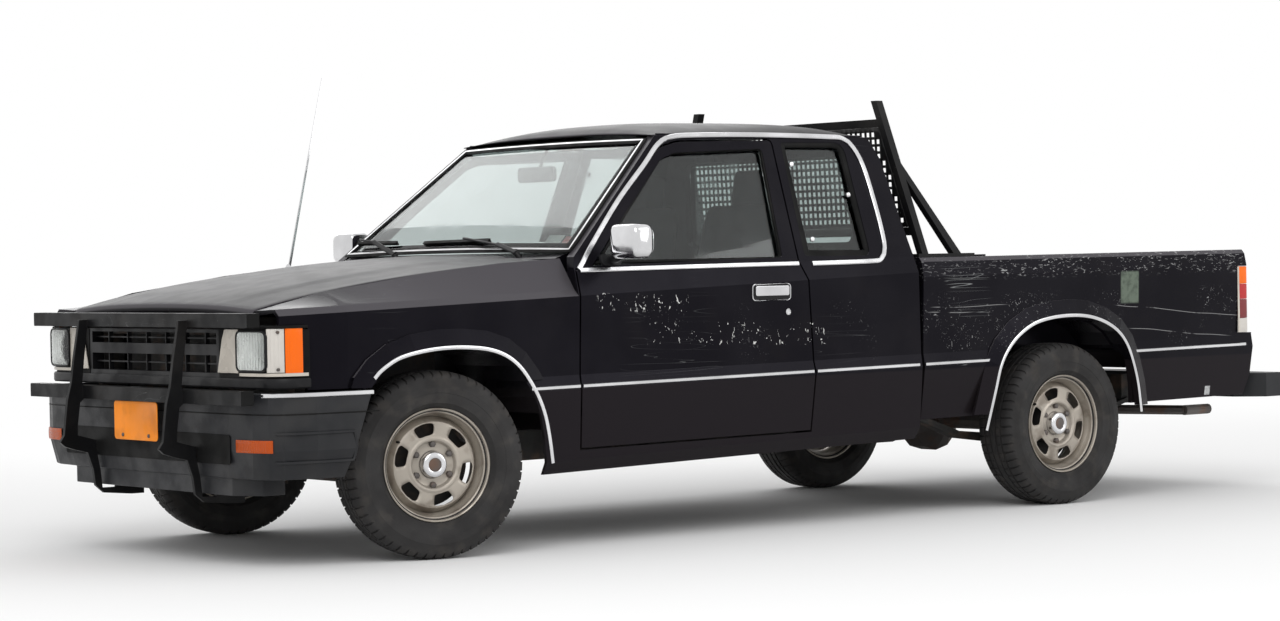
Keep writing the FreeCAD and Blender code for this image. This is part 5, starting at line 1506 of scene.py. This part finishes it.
@dataclass
class Cushion:
    """One crowned cushion with pressed-in seams; its middle, length, width and thickness are in millimetres."""

    name: str
    centre: Point
    size: Point
    lean: float
    seams: int
    sides: int = 40
    rings: int = 22
    seam_width: float = 0.035
    seam_depth: float = 0.13
    bolster: Point = (0.16, 0.82, 0.12)

    def ring(self, share: float) -> list[Vector]:
        """Give one ring round the cushion.

        Args:
            share: Its place along the cushion, -1 to 1.

        Returns:
            Points round it.
        """
        turn = Matrix.Rotation(math.radians(self.lean), 4, "Y")
        length, width, thick = (size / 2000 for size in self.size)
        taper = (1 - abs(share) ** 5) ** 0.3
        seams = [2 * (k + 1) / (self.seams + 1) - 1 for k in range(self.seams)]
        dip = max((math.exp(-((share - seam) / self.seam_width) ** 2) for seam in seams), default=0.0)
        swell, place, reach = self.bolster
        ring = []
        for angle in turns(self.sides):
            c, s = math.cos(angle), math.sin(angle)
            y = math.copysign(abs(c) ** 0.38, c) * width * (0.9 + 0.1 * taper)
            side = min(1.0, abs(y) / width)
            bolster = 1 + swell * math.exp(-((side - place) / reach) ** 2) - 0.10 * (1 - side)
            groove = 0.86 if abs(side - 0.62) < 0.05 else 1.0
            z = math.copysign(abs(s) ** 0.55, s) * thick * taper * bolster * groove * (1 - self.seam_depth * dip)
            ring.append(spot(*self.centre) + turn @ Vector((share * length, y, z)))
        return ring

    def build(self) -> bpy.types.Object:
        """Make the cushion as a padded piece.

        Returns:
            The piece.
        """
        shares = [math.sin(math.pi / 2 * k / self.rings) for k in range(-self.rings, self.rings + 1)]
        rows = [self.ring(min(0.9995, max(-0.9995, share))) for share in shares]
        piece = MeshWork(self.name, SEAT_CLOTH).solid(rows).build(Edges(smooth=70))
        return piece


@dataclass
class Cabin:
    """Seats and steering wheel, which show through the glass."""

    seat_middle: float = 372.0
    rim_radius: float = 0.187

    def add_seat(self, side: Side) -> None:
        """Make one front seat on its frame.

        Args:
            side: The side it stands on.
        """
        hand, y = side.hand, side * self.seat_middle
        cushion = Cushion(f"seat_cushion_{hand}", (1385, y, 618), (500, 520, 150), -5, 3).build()
        if side is Side.LEFT:
            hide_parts("seats")
        Cushion(f"seat_back_{hand}", (1672, y, 905), (620, 510, 120), -78, 4).build()
        Cushion(f"head_rest_{hand}", (1762, y, 1268), (150, 250, 85), -80, 0).build()
        for i, offset in enumerate((-55, 55)):
            post = [spot(1735, y + offset, 1195), spot(1758, y + offset, 1270)]
            MeshWork(f"head_rest_post_{hand}_{i}", CHROME).tube(post, 0.006).build()
        base = [spot(x, side * across, 438) for x, across in ((1220, 230), (1640, 230), (1640, 600), (1220, 600))]
        MeshWork(f"seat_frame_{hand}", CABIN_PLASTIC).slab(base, Vector((0, 0, 0.11))).build(Edges(0.006))

    def add_steering_wheel(self) -> None:
        """Make the steering wheel: rim, spokes and padded middle."""
        at = facing(spot(1000, -370, 935), 65, "Y")
        circle = [at @ Vector((self.rim_radius * math.cos(a), self.rim_radius * math.sin(a), 0)) for a in turns(72)]
        rim = MeshWork("steering_rim", CABIN_PLASTIC, "steering_wheel").tube(circle, 0.0125, 12, closed=True)
        for start, end in (((0.03, 0), (0.182, 0)), ((-0.03, 0), (-0.182, 0)), ((0, -0.03), (0, -0.182))):
            middle = ((start[0] + end[0]) / 2, (start[1] + end[1]) / 2)
            spoke = [at @ Vector((*place, z)) for place, z in ((start, -0.022), (middle, -0.018), (end, -0.003))]
            rim.strip(spoke, at.to_3x3() @ Vector((0, 0, 1)), section(0.034, 0.009))
        piece = rim.build(Edges(0.0012))
        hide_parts("steering_wheel")
        rows = [[at @ Vector((x * share, y * share, z)) for x, y in rounded((-0.05, -0.075), (0.05, 0.075), 0.03)]
                for z, share in ((-0.044, 0.6), (-0.030, 0.9), (-0.012, 1.0), (-0.004, 0.94), (0.0, 0.8))]
        MeshWork("steering_pad", CABIN_PLASTIC, "steering_wheel").solid(rows).build(Edges(smooth=50))

    def build(self) -> None:
        """Furnish the cabin."""
        for side in Side:
            self.add_seat(side)
        self.add_steering_wheel()


@dataclass
class SideFittings:
    """Door mirrors and the antenna's foot."""

    head_rings: Outline = ((836, 0.86), (842, 0.97), (856, 1.0), (940, 1.0), (962, 0.97), (974, 0.88), (980, 0.72))
    head: Block = ((-43, -61), (49, 61), 26)
    foot: tuple[Block, Block] = (((680, 988), (775, 1030), 14), ((684, 990), (770, 1027), 14))
    arm: tuple[Point, ...] = ((728, 786, 1008), (722, 830, 1020), (718, 872, 1040))
    glass: Block = ((846, 1031), (964, 1116), 22)
    antenna_base: Outline = ((0.017, 0.004), (0.0165, -0.004), (0.0105, -0.014), (0.006, -0.022), (0.0035, -0.024))

    def add_mirror(self, side: Side) -> None:
        """Make one door mirror: head, foot and glass.

        Args:
            side: The side it is for.
        """
        hand, door = side.hand, f"door_{side.hand}"
        rows = [[spot(719 + x * shrink * (1.0 if x > 30 else 0.94), side * y, 1073.5 + z * shrink)
                 for x, z in rounded(*self.head)] for y, shrink in self.head_rings]
        head = MeshWork(f"mirror_head_{hand}", CHROME, door).solid(rows)
        piece = head.build(Edges(0.006, 3, 40))
        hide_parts(f"mirror_{hand}")
        foot = MeshWork(f"mirror_foot_{hand}", GRILLE_BLACK, door)
        foot.solid([on_side(rounded(*outline), side, out) for outline, out in zip(self.foot, (-4.0, 9.0))])
        foot.tube([spot(x, side * y, z) for x, y, z in self.arm], 0.017, 12).build(Edges(0.002))
        plate = [spot(775, side * y, z) for y, z in rounded(*self.glass)]
        MeshWork(f"mirror_glass_{hand}", MIRROR, door).slab(plate, Vector((0.0015, 0, 0))).build()

    def build(self) -> None:
        """Make both mirrors and the foot."""
        for side in Side:
            self.add_mirror(side)
        at = facing(spot(316, 721, 992), 270, "X")
        MeshWork("antenna_base", CHROME).turn(self.antenna_base, 24, at).build()


@dataclass
class LoadBed:
    """Tail lamps, the rack's perforated panel and the tailgate's handle."""

    hole: float = 17.0
    pitch: float = 28.0
    panel_low: float = 1114.6
    panel_high: float = 1504.4
    margin: float = 8.0
    rack_foot: float = 1010.0
    rack_height: float = 599.0
    rack_half: float = 743.5
    rack_taper: float = 213.0
    rack_place: float = 2243.0
    rack_lean: float = 32.0
    lamp: Outline = ((4012, 708.5), (4083, 708.5), (4083, 780), (4079, 796), (4068, 806), (4054, 809), (4012, 809))
    stack: tuple[tuple[str, Finish, float, float], ...] = (
        ("amber", AMBER, 860, 932.5), ("red", RED_LENS, 796, 859), ("deep", DEEP_RED, 716, 795),
        ("clear", CORNER_LENS, 656.5, 715))
    gate_handle: Block = ((-95, 905), (95, 958), 10)

    def add_lamps(self, side: Side) -> None:
        """Make one side's stacked tail lamps.

        Args:
            side: The side they are for.
        """
        for name, finish, low, high in self.stack:
            rows = [[spot(x - step * (x > 4050), side * (y - step * (y > 780)), z) for x, y in self.lamp]
                    for z, step in ((low, 1.5), (low + 2, 0), (high - 2, 0), (high, 1.5))]
            lens = MeshWork(f"tail_{name}_{side.hand}", finish).solid(rows)
            piece = lens.build(Edges(smooth=40))
            if (side, name) == (Side.LEFT, "amber"):
                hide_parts("tail_lamps")
        edge = [spot(4010.5, side * 810.5, z) for z in (658, 931)]
        MeshWork(f"tail_edge_{side.hand}", BEZEL).strip(edge, side.out, section(0.010, 0.003)).build()

    def half(self, z: float) -> float:
        """Give the panel's half width at a height, both in millimetres."""
        return self.rack_half - self.rack_taper * (z - self.rack_foot) / self.rack_height

    def add_panel(self) -> None:
        """Make the rack's perforated panel."""
        low, high = self.panel_low, self.panel_high
        count, wide = int((high - low) // self.pitch), int(self.half(low) // self.pitch)
        start = (low + high) / 2 - (count - 1) * self.pitch / 2
        edges = (-self.hole / 2, self.hole / 2)
        levels = [low, *(start + self.pitch * i + edge for i in range(count) for edge in edges), high]
        columns = [-900.0, *(self.pitch * i + edge for i in range(-wide, wide + 1) for edge in edges), 900.0]

        def is_hole(i: int, j: int) -> bool:
            """Say whether a cell of the panel is open."""
            reach = max(abs(columns[j]), abs(columns[j + 1])) + self.margin
            return i % 2 == 1 and j % 2 == 1 and reach < self.half(levels[i + 1])

        rows = []
        for z in levels:
            x, half = self.rack_place - self.rack_lean * (z - self.rack_foot) / self.rack_height, self.half(z)
            rows.append([spot(x, max(-half, min(half, y)), z) for y in columns])
        panel = MeshWork("rack_panel", TUBE_PAINT).skin(rows, holes=is_hole).build(Edges(thickness=0.003))
        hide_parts("rack_mesh")

    def build(self) -> None:
        """Make everything on the load bed."""
        for side in Side:
            self.add_lamps(side)
        self.add_panel()
        plate = [spot(4082, y, z) for y, z in rounded(*self.gate_handle)]
        MeshWork("gate_handle", GRILLE_BLACK, "tailgate").slab(plate, Vector((0.004, 0, 0))).build(Edges(0.0015))


@dataclass
class Studio:
    """The floor, the lights, the pale surroundings and the camera."""

    camera_place: Point = (-6082.5, -9643.5, 1010.8)
    right: Point = (0.7872, -0.6164, -0.0188)
    down: Point = (-0.0249, -0.0013, -0.9997)
    ahead: Point = (0.6162, 0.7874, -0.0164)
    focal_pixels: float = 3149.0
    image_width: float = 1280.0
    sensor_width: float = 36.0
    floor_half: float = 40.0
    floor_colour: Colour = (0.9, 0.9, 0.9)
    fade: Flat = (4.0, 9.0)
    sky_light: float = 0.8
    lamps: tuple[tuple[str, Point, Point, float, float], ...] = (
        ("key", (-6.0, -6.0, 6.5), (0, 0, 0.8), 6.0, 280), ("fill", (4.5, -8.0, 4.0), (0.5, 0, 0.8), 5.0, 130),
        ("back", (3.0, 7.0, 5.0), (0, 0, 1.0), 6.0, 150))

    def add_camera(self) -> None:
        """Stand the camera where the photograph was taken."""
        data = bpy.data.cameras.new("camera")
        data.sensor_width = self.sensor_width
        data.lens = self.focal_pixels / self.image_width * self.sensor_width
        camera = bpy.data.objects.new("camera", data)
        matrix = Matrix((self.right, -Vector(self.down), -Vector(self.ahead))).transposed().to_4x4()
        matrix.translation = spot(*self.camera_place)
        camera.matrix_world = matrix
        bpy.context.collection.objects.link(camera)
        bpy.context.scene.camera = camera

    def add_lamps(self) -> None:
        """Hang the soft square lamps, each by its name, place, aim, side and power in watts."""
        for name, place, aim, size, power in self.lamps:
            data = bpy.data.lights.new(name, "AREA")
            data.size = size
            data.energy = power
            lamp = bpy.data.objects.new(name, data)
            lamp.location = place
            lamp.rotation_euler = (Vector(aim) - Vector(place)).to_track_quat("-Z", "Y").to_euler()
            bpy.context.collection.objects.link(lamp)

    def floor_material(self) -> bpy.types.Material:
        """Make the floor's finish, which fades into the white surroundings far from the truck.

        Returns:
            The material.
        """
        surface = Surface("pale_floor")
        surface.dress({"Base Color": self.floor_colour, "Roughness": 0.9, "Specular IOR Level": 0.0})
        distance = surface.node("ShaderNodeVectorMath", {0: surface.place}, "Value", operation="LENGTH")
        glow = distance.step(*self.fade) * surface.seen_directly()
        white = surface.node("ShaderNodeEmission", {})
        surface.show(surface.node("ShaderNodeMixShader", {0: glow, 1: surface.shaded, 2: white}))
        return surface.material

    def add_floor(self) -> None:
        """Lay the plain pale floor."""
        half = self.floor_half
        mesh = bpy.data.meshes.new("floor")
        mesh.from_pydata([(-half, -half, 0), (half, -half, 0), (half, half, 0), (-half, half, 0)], [], [(0, 1, 2, 3)])
        mesh.materials.append(self.floor_material())
        floor = bpy.data.objects.new("floor", mesh)
        bpy.context.collection.objects.link(floor)

    def add_surroundings(self) -> None:
        """Light the scene from all round, and show white behind it."""
        world = bpy.data.worlds.new("surroundings")
        sky = Tree(world, "ShaderNodeOutputWorld")
        light, white = (sky.node("ShaderNodeBackground", {"Color": (1, 1, 1), "Strength": strength})
                        for strength in (self.sky_light, 1.0))
        sky.show(sky.node("ShaderNodeMixShader", {0: sky.seen_directly(), 1: light, 2: white}))
        bpy.context.scene.world = world

    def build(self) -> None:
        """Set the whole studio up."""
        bpy.context.scene.view_settings.view_transform = "Standard"
        self.add_camera()
        self.add_floor()
        self.add_surroundings()
        self.add_lamps()


def main() -> None:
    """Build every sub-assembly in order and report its pieces."""
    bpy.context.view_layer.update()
    for part in (PlainNodes(), PressedPanels(), SheetTop(), WheelSet(), BodyTrim(), ArchLips(), FrontLamps(),
                 FrontBumper(), Glazing(), Cabin(), SideFittings(), LoadBed(), Studio()):
        before = set(bpy.data.objects.keys())
        part.build()
        for name in sorted(set(bpy.data.objects.keys()) - before):
            log.info("%s: %s", type(part).__name__, name)
    bpy.context.view_layer.update()


if __name__ == "__main__":
    main()
